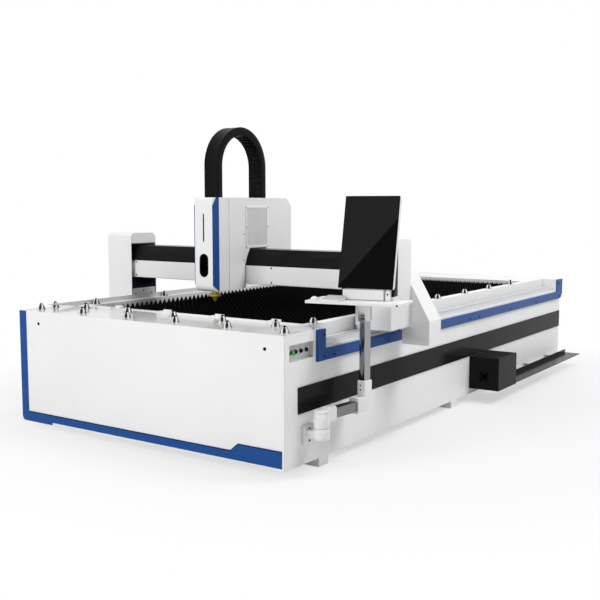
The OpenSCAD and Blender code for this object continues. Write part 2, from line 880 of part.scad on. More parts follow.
// Wall bracket of the console with the fixed half of the post and its pin
module arm_base() color(white) place() {
    block([half_w, half_w + bracket_t], bracket_y, bracket_z);
    block([half_w + bracket_t - cut, post_x], [post_y - bracket_neck, post_y + bracket_neck], bracket_neck_z);
    translate([post_x, post_y, post_z]) cylinder(r = post_r, h = post_h);
    translate([post_x, post_y, post_z]) cylinder(r = pin_r, h = post_h + pin_h);
}

// Gantry

module saddles() color(grey) place() both_sides() {
    leg_ys = [saddle_y[0] + leg_inset, saddle_y[1] - leg_inset - block_l];
    block([cover_in, half_w], saddle_y, [saddle_z, riser_z]);
    for (y = leg_ys)
        block([rail_x - block_w / 2, rail_x + block_w / 2], [y, y + block_l], [block_z[1], saddle_z + cut]);
    difference() {
        block([half_w - motor_plate_t, half_w],
            [saddle_mid - motor_plate_w / 2, saddle_mid + motor_plate_w / 2],
            [pinion_z - motor_r, saddle_z + cut]);
        bar_x([half_w - motor_plate_t - cut, half_w + cut], saddle_mid, pinion_z, shaft_r + shaft_gap);
    }
}

module rail_blocks() color(steel) place() both_sides() {
    for (y = [saddle_y[0] + leg_inset, saddle_y[1] - leg_inset - block_l]) difference() {
        block([rail_x - block_w / 2, rail_x + block_w / 2], [y, y + block_l], block_z);
        block([rail_x - rail_w / 2 - slide_gap, rail_x + rail_w / 2 + slide_gap],
            [y - cut, y + block_l + cut], [block_z[0] - cut, channel_z + rail_h + slide_gap]);
    }
}

module end_risers() color(navy) place() both_sides()
    hollow([cover_in, half_w], [cover_y[0] + sheet_t, cover_y[1] - sheet_t], [riser_z, beam_z], plate_t);

module beam() color(white) place() hollow([-half_w, half_w], beam_y, [beam_z, beam_top], beam_t);

module beam_plate() color(white) place()
    block([-cover_in + sheet_t, cover_in - sheet_t], [gantry_y, beam_y[0]], [beam_z + sheet_t, plate_top]);

// Outline of the hood's outside, from the top of the beam plate to the rear edge, moved in by t
function hood_line(t) = [
    [gantry_y + t, plate_top], [gantry_y + hood_lean_y + t, plate_top + hood_lean_h],
    [gantry_y + 2 * hood_lean_y + t / 2, hood_top - t], [hood_rear, hood_top - t]
];

module beam_hood() color(black) place() {
    inner = hood_line(sheet_t);
    along_x([-half_w + plate_t, half_w - plate_t],
        concat(hood_line(0), [for (i = [len(inner) - 1 : -1 : 0]) inner[i]]));
    both_sides() along_x([hood_end_x, hood_end_x + hood_end_t],
        concat([[beam_y[0], beam_top], [beam_y[0], plate_top]], inner, [[hood_rear, beam_top]]));
}

// Outline of an end cover with its top chamfers, moved in by t
function cover_line(t, low) = [
    [cover_y[0] + t, low], [cover_y[0] + t, cover_top - cover_front_cut[1] - t / 2],
    [cover_y[0] + cover_front_cut[0] + t / 2, cover_top - t],
    [cover_y[1] - cover_rear_cut[0] - t / 2, cover_top - t],
    [cover_y[1] - t, cover_top - cover_rear_cut[1] - t / 2], [cover_y[1] - t, low]
];

module end_covers() color(white) place() both_sides() difference() {
    along_x([cover_in, cover_out], cover_line(0, cover_z));
    along_x([cover_in + sheet_t, cover_out - sheet_t], cover_line(sheet_t, cover_z - cut));
    // Opening in the inner side below the cheek over the beam hood
    block([cover_in - cut, cover_in + sheet_t + cut], [cover_y[0] + sheet_t, cover_y[1] - sheet_t],
        [cover_z - cut, hood_top + cheek_gap]);
}

module cable_arm() color(white) place() let (y = [cover_y[1], cover_y[1] + arm_box_l]) difference() {
    along_y(y, [
        [arm_box_x[0], arm_box_z], [arm_box_x[1], arm_box_z], [arm_box_x[1], arm_box_z + arm_knee_h],
        [arm_box_x[1] - arm_slope_x, arm_box_z + arm_knee_h + arm_slope_h],
        [arm_box_x[0], arm_box_z + arm_knee_h + arm_slope_h]
    ]);
    along_y([y[0] + sheet_t, y[1] - sheet_t], [
        [arm_box_x[0] + sheet_t, arm_box_z - cut], [arm_box_x[1] - sheet_t, arm_box_z - cut],
        [arm_box_x[1] - sheet_t, arm_box_z + arm_knee_h - sheet_t / 2],
        [arm_box_x[1] - arm_slope_x - sheet_t / 2, arm_box_z + arm_knee_h + arm_slope_h - sheet_t],
        [arm_box_x[0] + sheet_t, arm_box_z + arm_knee_h + arm_slope_h - sheet_t]
    ]);
}

// Drive motors outside the channels, their shafts' bores towards the bed
module y_motors() color(black) place() both_sides() difference() {
    union() {
        bar_x([half_w, half_w + motor_l], saddle_mid, pinion_z, motor_r);
        block([half_w, half_w + flange_t], [saddle_mid - motor_r, saddle_mid + motor_r],
            [pinion_z - motor_r, pinion_z + motor_r]);
    }
    bar_x([half_w - cut, half_w + motor_bore_l], saddle_mid, pinion_z, shaft_r + shaft_gap);
}

module y_pinions() color(steel) place() both_sides() {
    translate([0, saddle_mid, pinion_z])
        along_x([rack_x0 + pinion_side, rack_x0 + rack_w - pinion_side], pinion_points);
    bar_x([rack_x0 + pinion_side, half_w + motor_bore_l - pinion_side], saddle_mid, pinion_z, shaft_r);
}

module x_rails() color(steel) place() for (y = xrail_ys)
    along_x([-xrail_half, xrail_half], rail_section(y, beam_top, xrail_w, xrail_h));

module x_rack() color(steel) place() translate([0, 0, xrack_z])
    along_y([beam_y[1], beam_y[1] + xrack_d], rack_points(-xrail_half, xrail_half, 0, rack_h));

// Carriage

// C-shaped frame: a plate on the guide blocks, a web behind the beam, a deck over the hood and a front plate
module carriage_frame() color(grey) place() difference() {
    along_x([-frame_half, frame_half], [
        [xrail_ys[0] - xblock_w / 2, xblock_z[1]], [web_y[0], xblock_z[1]], [web_y[0], web_z],
        [web_y[1], web_z], [web_y[1], deck_plate_z + frame_t], [front_plate_y[1], deck_plate_z + frame_t],
        [front_plate_y[1], front_plate_z[1]], [shelf_y, front_plate_z[1]],
        [shelf_y, front_plate_z[1] - shelf_t], [front_plate_y[0], front_plate_z[1] - shelf_t],
        [front_plate_y[0], front_plate_z[0]], [front_plate_y[1], front_plate_z[0]],
        [front_plate_y[1], deck_plate_z], [web_y[0], deck_plate_z], [web_y[0], xblock_z[1] + frame_t],
        [xrail_ys[0] - xblock_w / 2, xblock_z[1] + frame_t]
    ]);
    bar_y(0, [web_y[0] - cut, web_y[1] + cut], xpinion_z, shaft_r + shaft_gap);
}

module carriage_guides() color(steel) place() {
    for (y = xrail_ys) for (x = [-frame_half, frame_half - xblock_l]) difference() {
        block([x, x + xblock_l], [y - xblock_w / 2, y + xblock_w / 2], xblock_z);
        block([x - cut, x + xblock_l + cut], [y - xrail_w / 2 - slide_gap, y + xrail_w / 2 + slide_gap],
            [xblock_z[0] - cut, beam_top + xrail_h + slide_gap]);
    }
    both_sides() block(lift_rail_x, [front_plate_y[0] - lift_rail_h, front_plate_y[0]], lift_rail_z);
}

// Cover of folded sheet, cut out around the beam and its hood, open to the front hood
module carriage_cover() color(white) place() difference() {
    along_x([-half_c, half_c], [
        [seam_y, cover_low_z], [seam_y, carriage_top], [cover_rear - cover_chamfer[0], carriage_top],
        [cover_rear, carriage_top - cover_chamfer[1]], [cover_rear, cover_rear_z],
        [web_y[0] + sheet_t, cover_rear_z], [web_y[0] + sheet_t, hood_top + cover_gap],
        [gantry_y + 2 * hood_lean_y - cover_gap / 2, hood_top + cover_gap],
        [gantry_y + hood_lean_y - cover_gap, plate_top + hood_lean_h], [gantry_y - cover_gap, plate_top],
        [gantry_y - cover_gap, cover_low_z]
    ]);
    along_x([-frame_half, frame_half], [
        [seam_y - cut, cover_low_z - cut], [seam_y - cut, carriage_top - sheet_t],
        [cover_rear - cover_chamfer[0] - sheet_t / 2, carriage_top - sheet_t],
        [cover_rear - sheet_t, carriage_top - cover_chamfer[1] - sheet_t / 2],
        [cover_rear - sheet_t, cover_low_z - cut]
    ]);
    block([-half_c - cut, half_c + cut], [vent_y[0] + vent_rim, vent_y[1] - vent_rim],
        [vent_z[0] + vent_rim, vent_z[1] - vent_rim]);
}

module front_hood() color(white) place() difference() {
    along_x([-half_c, half_c], concat(
        arc([hood_y + hood_round, hood_low_z + hood_round], hood_round, 270, 180),
        arc([hood_y + hood_round, carriage_top - hood_round], hood_round, 180, 90),
        [[seam_y, carriage_top], [seam_y, cover_low_z], [hood_y + strip_l, cover_low_z]]
    ));
    along_x([-frame_half, frame_half], concat(
        [[hood_y + sheet_t, hood_low_z + hood_round]],
        arc([hood_y + hood_round, carriage_top - hood_round], hood_round - sheet_t, 180, 90),
        [[seam_y + cut, carriage_top - sheet_t], [seam_y + cut, cover_low_z - cut],
            [hood_y + hood_round, cover_low_z - cut], [hood_y + hood_round, hood_low_z + sheet_t]]
    ));
    // Oval window and the thin slot above it
    for (s = [-1, 1])
        bar_y(0, [hood_y - cut, hood_y + sheet_t + cut],
            window_z + s * (window_h - window_w) / 2, window_w / 2);
    block([-window_w / 2, window_w / 2], [hood_y - cut, hood_y + sheet_t + cut],
        [window_z - (window_h - window_w) / 2, window_z + (window_h - window_w) / 2]);
    block([-slot_w / 2, slot_w / 2], [hood_y - cut, hood_y + sheet_t + cut], slot_z);
}

module hood_trims() color(blue) place() both_sides() along_x([half_c, half_c + strip_t], [
    [hood_y, hood_low_z + hood_round], [hood_y + strip_l, cover_low_z],
    [hood_y + strip_l, carriage_top], [hood_y + strip_l - hood_round, carriage_top],
    [hood_y, carriage_top - strip_slant]
]);

// Perforated sheets over the vents of the carriage cover
module side_vents() color(white) place() both_sides() {
    pitch_y = (vent_y[1] - vent_y[0] - 2 * vent_rim) / vent_cols;
    pitch_z = (vent_z[1] - vent_z[0] - 2 * vent_rim) / vent_rows;
    difference() {
        block([half_c, half_c + vent_t], vent_y, vent_z);
        for (i = [0 : vent_cols - 1]) for (j = [0 : vent_rows - 1])
            translate([half_c - cut, vent_y[0] + vent_rim + (i + 0.5) * pitch_y,
                vent_z[0] + vent_rim + (j + 0.5) * pitch_z])
                rotate([0, 90, 0]) cylinder(r = vent_hole_r, h = vent_t + 2 * cut, $fn = 4);
    }
}

// A bend of the cable chain over an angle: inner and outer radius, half width
module chain_bend(a0, a1, r0, r1, half) translate([0, chain_y, chain_z]) rotate([90, 0, 90])
    rotate([0, 0, a0]) rotate_extrude(angle = a1 - a0) translate([r0, -half]) square([r1 - r0, 2 * half]);

module cable_chain() color(black) place() {
    inner = chain_r - chain_t;
    leg = chain_leg_h / chain_leg_links;
    bend = 180 / chain_links;
    gap = chain_groove / chain_r * 180 / PI;
    chain_bend(0, 180, inner + chain_core_in, chain_r - chain_core_in, chain_w / 2 - chain_core_in);
    for (i = [0 : chain_links - 1])
        chain_bend(i * bend + gap / 2, (i + 1) * bend - gap / 2, inner, chain_r, chain_w / 2);
    for (s = [-1, 1]) {
        middle = chain_y + s * (chain_r - chain_t / 2);
        block([-chain_w / 2 + chain_core_in, chain_w / 2 - chain_core_in],
            [middle - chain_t / 2 + chain_core_in, middle + chain_t / 2 - chain_core_in],
            [carriage_top, chain_z]);
        for (i = [0 : chain_leg_links - 1])
            block([-chain_w / 2, chain_w / 2], [middle - chain_t / 2, middle + chain_t / 2],
                [carriage_top + i * leg + chain_groove / 2, carriage_top + (i + 1) * leg - chain_groove / 2]);
    }
}

module carriage_motors() color(black) place() {
    difference() {
        union() {
            bar_y(0, [web_y[1], web_y[1] + xmotor_l], xpinion_z, motor_r);
            block([-motor_r, motor_r], [web_y[1], web_y[1] + flange_t],
                [xpinion_z - motor_r, xpinion_z + motor_r]);
        }
        bar_y(0, [web_y[1] - cut, web_y[1] + motor_bore_l], xpinion_z, shaft_r + shaft_gap);
    }
    block([-lift_motor_w / 2, lift_motor_w / 2], [shelf_y + sheet_t, front_plate_y[1] - sheet_t],
        [front_plate_z[1], front_plate_z[1] + lift_motor_h]);
}

module x_pinion() color(steel) place() {
    translate([0, xpinion_y[1], xpinion_z]) rotate([90, 0, 0])
        linear_extrude(xpinion_y[1] - xpinion_y[0]) polygon(pinion_points);
    bar_y(0, [xpinion_y[0], web_y[1] + motor_bore_l - pinion_side], xpinion_z, shaft_r);
}

// Cutting head

module lift_plate() color(steel) place() let (y = front_plate_y[0] - lift_rail_h - slide_gap)
    block([-lift_plate_half, lift_plate_half], [y - lift_plate_t, y], lift_plate_z);

module cutting_head() color(grey) place() {
    plate_front = front_plate_y[0] - lift_rail_h - slide_gap - lift_plate_t;
    block([-head_half, head_half], [head_y - head_half, plate_front], [head_z, head_z + head_h]);
    translate([0, head_y, head_z + head_h]) cylinder(r = head_r, h = collimator_h);
    translate([0, head_y, head_z + head_h + collimator_h / 2]) cylinder(r = head_r + sheet_t, h = collar_h);
    translate([0, head_y, nozzle_tip_z + nozzle_h])
        cylinder(r = head_low_r, h = head_z + cut - nozzle_tip_z - nozzle_h);
}

module nozzle() color(brass) place() translate([0, head_y, nozzle_tip_z]) rotate_extrude() polygon([
    [nozzle_bore_r, 0], [nozzle_tip_r, 0], [nozzle_neck_r, nozzle_cone_h],
    [nozzle_r - nozzle_edge, nozzle_cone_h], [nozzle_r, nozzle_cone_h + nozzle_edge],
    [nozzle_r, nozzle_cone_h + nozzle_rim_h - nozzle_edge],
    [nozzle_r - nozzle_edge, nozzle_cone_h + nozzle_rim_h],
    [nozzle_neck_r, nozzle_cone_h + nozzle_rim_h], [nozzle_neck_r, nozzle_h], [nozzle_bore_r, nozzle_h]
]);

// Console

module arm_knuckle() color(white) place_arm() difference() {
    union() {
        translate([0, 0, post_z + post_h + slide_gap]) cylinder(r = post_r, h = knuckle_h);
        block([-neck_half, neck_half], neck_y, neck_z);
    }
    translate([0, 0, post_z]) cylinder(r = pin_r + shaft_gap, h = post_h + pin_h + slide_gap);
}

module arm_tubes() color(grey) place_arm() {
    arm_end = arm_reach - elbow_d / 2 - elbow_socket - elbow_flange;
    difference() {
        block([-arm_half, arm_half], [neck_y[1], arm_end], arm_z);
        block([-arm_half + arm_t, arm_half - arm_t], [neck_y[1] - cut, arm_end + cut],
            [arm_z[0] + arm_t, arm_z[1] - arm_t]);
    }
    difference() {
        block([-mast_size[0] / 2, mast_size[0] / 2],
            [arm_reach - mast_size[1] / 2, arm_reach + mast_size[1] / 2], [elbow_z[1], mast_head_z]);
        block([-mast_size[0] / 2 + arm_t, mast_size[0] / 2 - arm_t],
            [arm_reach - mast_size[1] / 2 + arm_t, arm_reach + mast_size[1] / 2 - arm_t],
            [elbow_z[1] - cut, mast_head_z + cut]);
    }
}

module arm_elbow() color(white) place_arm() {
    y = [arm_reach - elbow_d / 2, arm_reach + elbow_d / 2];
    front = y[0] - elbow_socket;
    rim = arm_z[1] + elbow_rim;
    along_x([-elbow_half, elbow_half], concat(
        [[front, rim], [front, elbow_z[0]]],
        arc([y[1] - elbow_round, elbow_z[0] + elbow_round], elbow_round, 270, 360),
        [[y[1], elbow_z[1]], [y[0], elbow_z[1]], [y[0], rim]]
    ));
    block([-elbow_flange_half, elbow_flange_half], [front - elbow_flange, front + cut],
        [elbow_z[0] - elbow_flange / 2, rim + elbow_flange / 2]);
}

module mast_head() color(grey) place_arm() block(
    [-mast_head_size[0] / 2, mast_head_size[0] / 2],
    [arm_reach - mast_head_size[1] / 2, arm_reach + mast_head_size[1] / 2],
    [mast_head_z, tray_z - weld_gap]
);

module tray() color(white) {
    place_tray()
        hollow([-tray_w / 2, tray_w / 2], [-tray_d / 2, tray_d / 2], [tray_z, tray_top], tray_sheet);
    // Tab beside the mast head
    place_arm() let (x = -mast_head_size[0] / 2, y = arm_reach - mast_head_size[1] / 2)
        block([x - tab_w, x - weld_gap], [y, y + tab_t], [tray_z - tab_h, tray_z + cut]);
}

// Base box with two ears and the hinge pin of the monitor
module monitor_base() color(white) place_tray() {
    hollow(base_u, base_v, [tray_top, tray_top + base_h], tray_sheet);
    for (s = [0, 1]) let (u = monitor_u + (2 * s - 1) * lug_half - (1 - s) * ear_t)
        block([u, u + ear_t], [tilt_v - ear_half_v, tilt_v + ear_half_v],
            [tray_top, tilt_z + tilt_boss_r]);
    bar_x([monitor_u - lug_half - ear_t, monitor_u + lug_half + ear_t], tilt_v, tilt_z, tilt_pin_r);
}

module keypad_and_mouse() color(white) place_tray() {
    along_x(key_u, [
        [key_v[0], tray_top], [key_v[1], tray_top], [key_v[1], tray_top + key_h[1]],
        [key_v[0], tray_top + key_h[0]]
    ]);
    along_x(mouse_u, concat(
        [[mouse_v[0], tray_top]], [[mouse_v[1], tray_top]],
        [for (i = [0 : mouse_steps]) let (
            a = mouse_edge_a + i * (180 - 2 * mouse_edge_a) / mouse_steps,
            half = (mouse_v[1] - mouse_v[0]) / 2)
            [mouse_v[0] + half + half * cos(a), tray_top + mouse_h * sin(a)]]
    ));
}

module monitor_case() color(white) difference() {
    union() {
        place_screen() along_x([-screen_w / 2 + case_inset, screen_w / 2 - case_inset], [
            [screen_t, case_inset], [screen_t + case_t - case_chamfer, case_inset],
            [screen_t + case_t, case_inset + case_chamfer],
            [screen_t + case_t, screen_h - case_inset - case_chamfer],
            [screen_t + case_t - case_chamfer, screen_h - case_inset], [screen_t, screen_h - case_inset]
        ]);
        // Lug on the back that turns on the hinge pin
        place_tray() {
            half = lug_half - slide_gap;
            bar_x([monitor_u - half, monitor_u + half], tilt_v, tilt_z, tilt_boss_r);
            block([monitor_u - half, monitor_u + half], [tilt_v - case_t + tilt_boss_r, tilt_v],
                [tilt_z - tilt_boss_r + cut, tilt_z + tilt_boss_r - cut]);
        }
    }
    place_tray() bar_x([monitor_u - lug_half - cut, monitor_u + lug_half + cut], tilt_v, tilt_z,
        tilt_pin_r + shaft_gap);
}

module screen() color(black) place_screen()
    block([-screen_w / 2, screen_w / 2], [0, screen_t], [0, screen_h]);

front_cabinet();
front_panel();
front_trim();
rear_cabinet();
side_beams();
bed_walls();
slat_frame();
side_bands();
side_trims();
feet();
slats();
scrap_tray();
ball_cups();
transfer_balls();
sheet_clamps();
y_rails();
y_racks();
rail_guard();
button_plate();
main_switch();
start_button();
stop_button();
feed_button();
reset_button();
chain_box();
chain_trough();
arm_base();
saddles();
rail_blocks();
end_risers();
beam();
beam_plate();
beam_hood();
end_covers();
cable_arm();
y_motors();
x_rails();
x_rack();
y_pinions();
carriage_frame();
carriage_guides();
carriage_cover();
front_hood();
hood_trims();
side_vents();
cable_chain();
carriage_motors();
x_pinion();
lift_plate();
cutting_head();
nozzle();
arm_knuckle();
arm_tubes();
arm_elbow();
mast_head();
tray();
monitor_base();
keypad_and_mouse();
monitor_case();
screen();
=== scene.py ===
"""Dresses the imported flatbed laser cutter: its finishes, covers, slats, fasteners, console and stage."""

import json
import math
from contextlib import contextmanager
from functools import partial

import bmesh
import bpy
from bpy.props import FloatProperty, FloatVectorProperty, IntProperty, PointerProperty
from mathutils import Matrix, Vector


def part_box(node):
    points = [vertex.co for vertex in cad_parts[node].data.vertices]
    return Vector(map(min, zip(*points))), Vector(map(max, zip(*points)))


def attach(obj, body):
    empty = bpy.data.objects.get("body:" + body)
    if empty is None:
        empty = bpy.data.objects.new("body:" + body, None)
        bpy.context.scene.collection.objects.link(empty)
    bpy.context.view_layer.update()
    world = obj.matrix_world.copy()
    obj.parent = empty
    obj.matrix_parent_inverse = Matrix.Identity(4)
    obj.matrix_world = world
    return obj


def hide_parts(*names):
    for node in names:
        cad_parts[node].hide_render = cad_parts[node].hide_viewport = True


bl_info = {
    "name": "Flatbed laser cutter looks",
    "version": (1, 0, 0),
    "blender": (4, 5, 0),
    "location": "View3D > Sidebar > Cutter",
    "description": "Builds the visual model of a flatbed laser cutter around its packed CAD frame",
    "category": "Object",
}

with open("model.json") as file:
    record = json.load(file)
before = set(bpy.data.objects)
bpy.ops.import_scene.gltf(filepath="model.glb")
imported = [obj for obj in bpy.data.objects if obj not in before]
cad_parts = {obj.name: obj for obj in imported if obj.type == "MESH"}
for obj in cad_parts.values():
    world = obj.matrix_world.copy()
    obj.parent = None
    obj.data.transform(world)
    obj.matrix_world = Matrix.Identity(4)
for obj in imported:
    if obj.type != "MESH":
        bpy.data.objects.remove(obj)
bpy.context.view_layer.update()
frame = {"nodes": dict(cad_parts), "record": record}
MM = 0.001
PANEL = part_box("front_panel")
FINISHES = {}

# Axes, and the share of a direction along an axis that counts as facing it, running along it or looking aside
X, Y, Z = range(3)
FACING, STRAIGHT, ASIDE = 0.9, 0.99, 0.1
# Angles from which an edge is rounded, and from which it is shaded as a corner
SHARP, CREASE = math.radians(40), math.radians(32)
# Distance in metres within which vertices merge
MERGE = 0.00001
# Sheet of the folded covers, and the border of an inset that only starts a wall, in millimetres
SHEET, SLIVER = 3, 0.01
WHITE = (1, 1, 1, 1)

# Frames of the machine, the swing arm, the console tray and the screen, in metres
POST = (1.09, 0.205, 0)
ARM_REACH = 0.377
TRAY_FROM_MAST = Vector((0.026, -0.111, 0))
SCREEN_FOOT = (0.027, 0.014, 0.947)
ARM_YAW, TRAY_YAW, SCREEN_LEAN = (math.radians(angle) for angle in (-5.3, 10, -13))
MACHINE = Matrix.Translation(((PANEL[0].x + PANEL[1].x) / 2, PANEL[0].y, 0))
ARM = MACHINE @ Matrix.Translation(POST) @ Matrix.Rotation(ARM_YAW, 4, "Z")
MAST = ARM @ Vector((0, ARM_REACH, 0))
TRAY = Matrix.Translation(MAST + TRAY_FROM_MAST) @ Matrix.Rotation(TRAY_YAW, 4, "Z")
SCREEN = TRAY @ Matrix.Translation(SCREEN_FOOT) @ Matrix.Rotation(SCREEN_LEAN, 4, "X")


# Modelling helpers: every piece is shaped in its own frame in millimetres, then put in its place
def clear():
    """Leaves edit mode and deselects everything."""
    if bpy.context.mode != "OBJECT":
        bpy.ops.object.mode_set(mode="OBJECT")
    bpy.ops.object.select_all(action="DESELECT")


def focus(piece):
    """Selects one piece alone and makes it the active one."""
    clear()
    piece.select_set(True)
    bpy.context.view_layer.objects.active = piece


def fix(place=None):
    """Moves the active piece to a place, if one is given, and fixes its place in its mesh."""
    piece = bpy.context.object
    if place is not None:
        piece.matrix_world = place
    bpy.ops.object.transform_apply(location=True, rotation=True, scale=True)
    return piece


def named(name):
    """Names the new primitive and fixes its place in its mesh."""
    piece = bpy.context.object
    piece.name = piece.data.name = name
    return fix()


def at(*spot):
    """The place of a point in millimetres."""
    return Matrix.Translation(Vector(spot) * MM)


def start_box(name, x, y, z):
    """A cube between two corners."""
    clear()
    low, high = Vector((x[0], y[0], z[0])), Vector((x[1], y[1], z[1]))
    bpy.ops.mesh.primitive_cube_add(size=1, location=(low + high) * MM / 2, scale=(high - low) * MM)
    return named(name)


def start_bar(name, centre, radius, length, axis="Z", sides=32):
    """A round bar about its centre along an axis."""
    clear()
    turn = {"X": (0, math.pi / 2, 0), "Y": (math.pi / 2, 0, 0), "Z": (0, 0, 0)}[axis]
    bpy.ops.mesh.primitive_cylinder_add(
        vertices=sides, radius=radius * MM, depth=length * MM, location=Vector(centre) * MM, rotation=turn)
    return named(name)


@contextmanager
def editing(piece):
    """Edit mode on one piece."""
    focus(piece)
    bpy.ops.object.mode_set(mode="EDIT")
    yield
    bpy.ops.object.mode_set(mode="OBJECT")


def middle(part):
    """Middle of a vertex, edge or face in millimetres."""
    if isinstance(part, bmesh.types.BMVert):
        return part.co / MM
    if isinstance(part, bmesh.types.BMEdge):
        return (part.verts[0].co + part.verts[1].co) / 2 / MM
    return part.calc_center_median() / MM


def along(edge, axis):
    """True if an edge runs along an axis."""
    way = (edge.verts[0].co - edge.verts[1].co).normalized()
    return abs(way[axis]) > STRAIGHT


def near(value, target, gap=0.5):
    """True if two lengths agree."""
    return abs(value - target) < gap


def lies(part, **spot):
    """True if the middle of a part has the given x, y or z."""
    return all(near(getattr(middle(part), key), value) for key, value in spot.items())


def pick(kind, rule):
    """Selects the vertices, edges or faces that follow a rule."""
    bpy.ops.mesh.select_mode(type=kind)
    bpy.ops.mesh.select_all(action="DESELECT")
    data = bpy.context.object.data
    mesh = bmesh.from_edit_mesh(data)
    mesh.normal_update()
    for part in {"VERT": mesh.verts, "EDGE": mesh.edges, "FACE": mesh.faces}[kind]:
        if rule(part):
            part.select_set(True)
    bmesh.update_edit_mesh(data)


def pick_side(axis, sign):
    """Selects the faces that look along an axis, or against it."""
    pick("FACE", lambda f: f.normal[axis] * sign > FACING)


def pick_cap():
    """Selects the round face on top."""
    pick("FACE", lambda f: f.normal.z > FACING and len(f.verts) > 4)


def bevel(size, steps):
    """Rounds the selected edges."""
    bpy.ops.mesh.bevel(offset=size * MM, segments=steps, affect="EDGES")


def round_along(axis, size, steps, **spot):
    """Rounds the edges along an axis: all of them, or those whose middle has the given x, y or z."""
    pick("EDGE", lambda e: along(e, axis) and lies(e, **spot))
    bevel(size, steps)


def sink(border, depth):
    """Insets the selected faces as one and lowers them by a depth."""
    bpy.ops.mesh.inset(thickness=border * MM, depth=-depth * MM)


def sink_side(axis, sign, border, depth):
    """Insets and lowers the faces that look along an axis, or against it."""
    pick_side(axis, sign)
    sink(border, depth)


def slab(name, x, y, z, axis, corner, steps, sunk=None):
    """A box with round corners along an axis, and one end sunk by a sign, a border and a depth if given."""
    piece = start_box(name, x, y, z)
    with editing(piece):
        round_along(axis, corner, steps)
        if sunk:
            sink_side(axis, *sunk)
    return piece


def shift(x, y, z):
    """Moves what is selected."""
    bpy.ops.transform.translate(value=(x * MM, y * MM, z * MM))


def draw_out(x, y, z):
    """Extrudes the selected faces."""
    bpy.ops.mesh.extrude_region_move(TRANSFORM_OT_translate={"value": (x * MM, y * MM, z * MM)})


def modify(piece, kind, **settings):
    """Adds a modifier and applies it."""
    made = piece.modifiers.new(kind.title(), kind)
    for key, value in settings.items():
        setattr(made, key, value)
    focus(piece)
    bpy.ops.object.modifier_apply(modifier=made.name)


def soften(piece, size, steps=2):
    """Rounds every sharp edge of a piece."""
    modify(piece, "BEVEL", width=size * MM, segments=steps, limit_method="ANGLE", angle_limit=SHARP)


def thicken(piece):
    """Gives a folded cover the thickness of its sheet, inwards."""
    modify(piece, "SOLIDIFY", thickness=SHEET * MM, offset=-1, use_even_offset=True)


def row(piece, count, step):
    """Repeats a piece by a step in millimetres."""
    modify(
        piece, "ARRAY", count=count, use_relative_offset=False, use_constant_offset=True,
        constant_offset_displace=[length * MM for length in step])


def combine(operation, piece, *others):
    """Cuts other shapes out of a piece, or unites them with it."""
    for other in others:
        modify(piece, "BOOLEAN", operation=operation, solver="EXACT", object=other)
        bpy.data.objects.remove(other)


cut, weld = partial(combine, "DIFFERENCE"), partial(combine, "UNION")


def join(pieces, name=None):
    """Makes one object of several pieces, with the first one's name unless another is given."""
    clear()
    for piece in pieces:
        piece.select_set(True)
    whole = bpy.context.view_layer.objects.active = pieces[0]
    bpy.ops.object.join()
    if name:
        whole.name = whole.data.name = name
    return whole


def repeat(piece, places):
    """Copies a piece to each place, and joins the copies in its stead."""
    copies = []
    for place in places:
        focus(piece)
        bpy.ops.object.duplicate(linked=False)
        copies.append(fix(place))
    name = piece.name
    bpy.data.objects.remove(piece)
    return join(copies, name)


def outward(piece):
    """Merges doubles and turns every face outwards."""
    with editing(piece):
        bpy.ops.mesh.select_all(action="SELECT")
        bpy.ops.mesh.remove_doubles(threshold=MERGE)
        bpy.ops.mesh.normals_make_consistent(inside=False)


def done(piece, body, slot, *nodes, place=MACHINE, look=None):
    """Puts a piece in its place, gives it its finish and hangs it on a body."""
    focus(piece)
    fix(place)
    bpy.ops.object.shade_smooth_by_angle(angle=CREASE)
    piece.data.materials.clear()
    piece.data.materials.append(FINISHES[look or slot])
    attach(piece, body)
    if nodes:
        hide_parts(*nodes)


# Shader helpers
class Wire:
    """A socket of a node tree; sums, differences and products of wires and numbers add Math nodes."""

    def __init__(self, tree, socket):
        self.tree = tree
        self.socket = socket

    def _math(self, operation, first, second):
        return self.tree.node("Math", {0: first, 1: second}, operation=operation)

    def __add__(self, other):
        return self._math("ADD", self, other)

    def __sub__(self, other):
        return self._math("SUBTRACT", self, other)

    def __rsub__(self, other):
        return self._math("SUBTRACT", other, self)

    def __mul__(self, other):
        return self._math("MULTIPLY", self, other)

    __radd__ = __add__

    def span(self, low, high, start=0.0, end=1.0):
        """Stretches the values between low and high over start to end, held at both ends."""
        limits = {"From Min": low, "From Max": high, "To Min": start, "To Max": end}
        return self.tree.node("MapRange", {"Value": self, **limits}, clamp=True)


class Tree:
    """The nodes of a material or a world."""

    def __init__(self, owner):
        owner.use_nodes = True
        self.tree = owner.node_tree

    def found(self, kind):
        """The first node of a kind."""
        return next(n for n in self.tree.nodes if n.type == kind)

    def feed(self, socket, value):
        """Links a wire to a socket, or sets its value."""
        if isinstance(value, Wire):
            self.tree.links.new(value.socket, socket)
        else:
            socket.default_value = value

    def node(self, kind, inputs, output=0, **settings):
        """Adds a shader node with its settings and inputs and returns one of its outputs."""
        made = self.tree.nodes.new("ShaderNode" + kind)
        for key, value in settings.items():
            setattr(made, key, value)
        for key, value in inputs.items():
            self.feed(made.inputs[key], value)
        return Wire(self, made.outputs[output])

    def seen(self):
        """1 on camera, glossy and see-through rays, and 0 on those that carry light."""
        return sum(
            self.node("LightPath", {}, ray)
            for ray in ("Is Camera Ray", "Is Glossy Ray", "Is Transmission Ray"))

    def show(self, output, factor, first, second):
        """Feeds an output with a mix of two shaders."""
        mix = self.node("MixShader", {0: factor, 1: first, 2: second})
        self.feed(self.found(output).inputs["Surface"], mix)


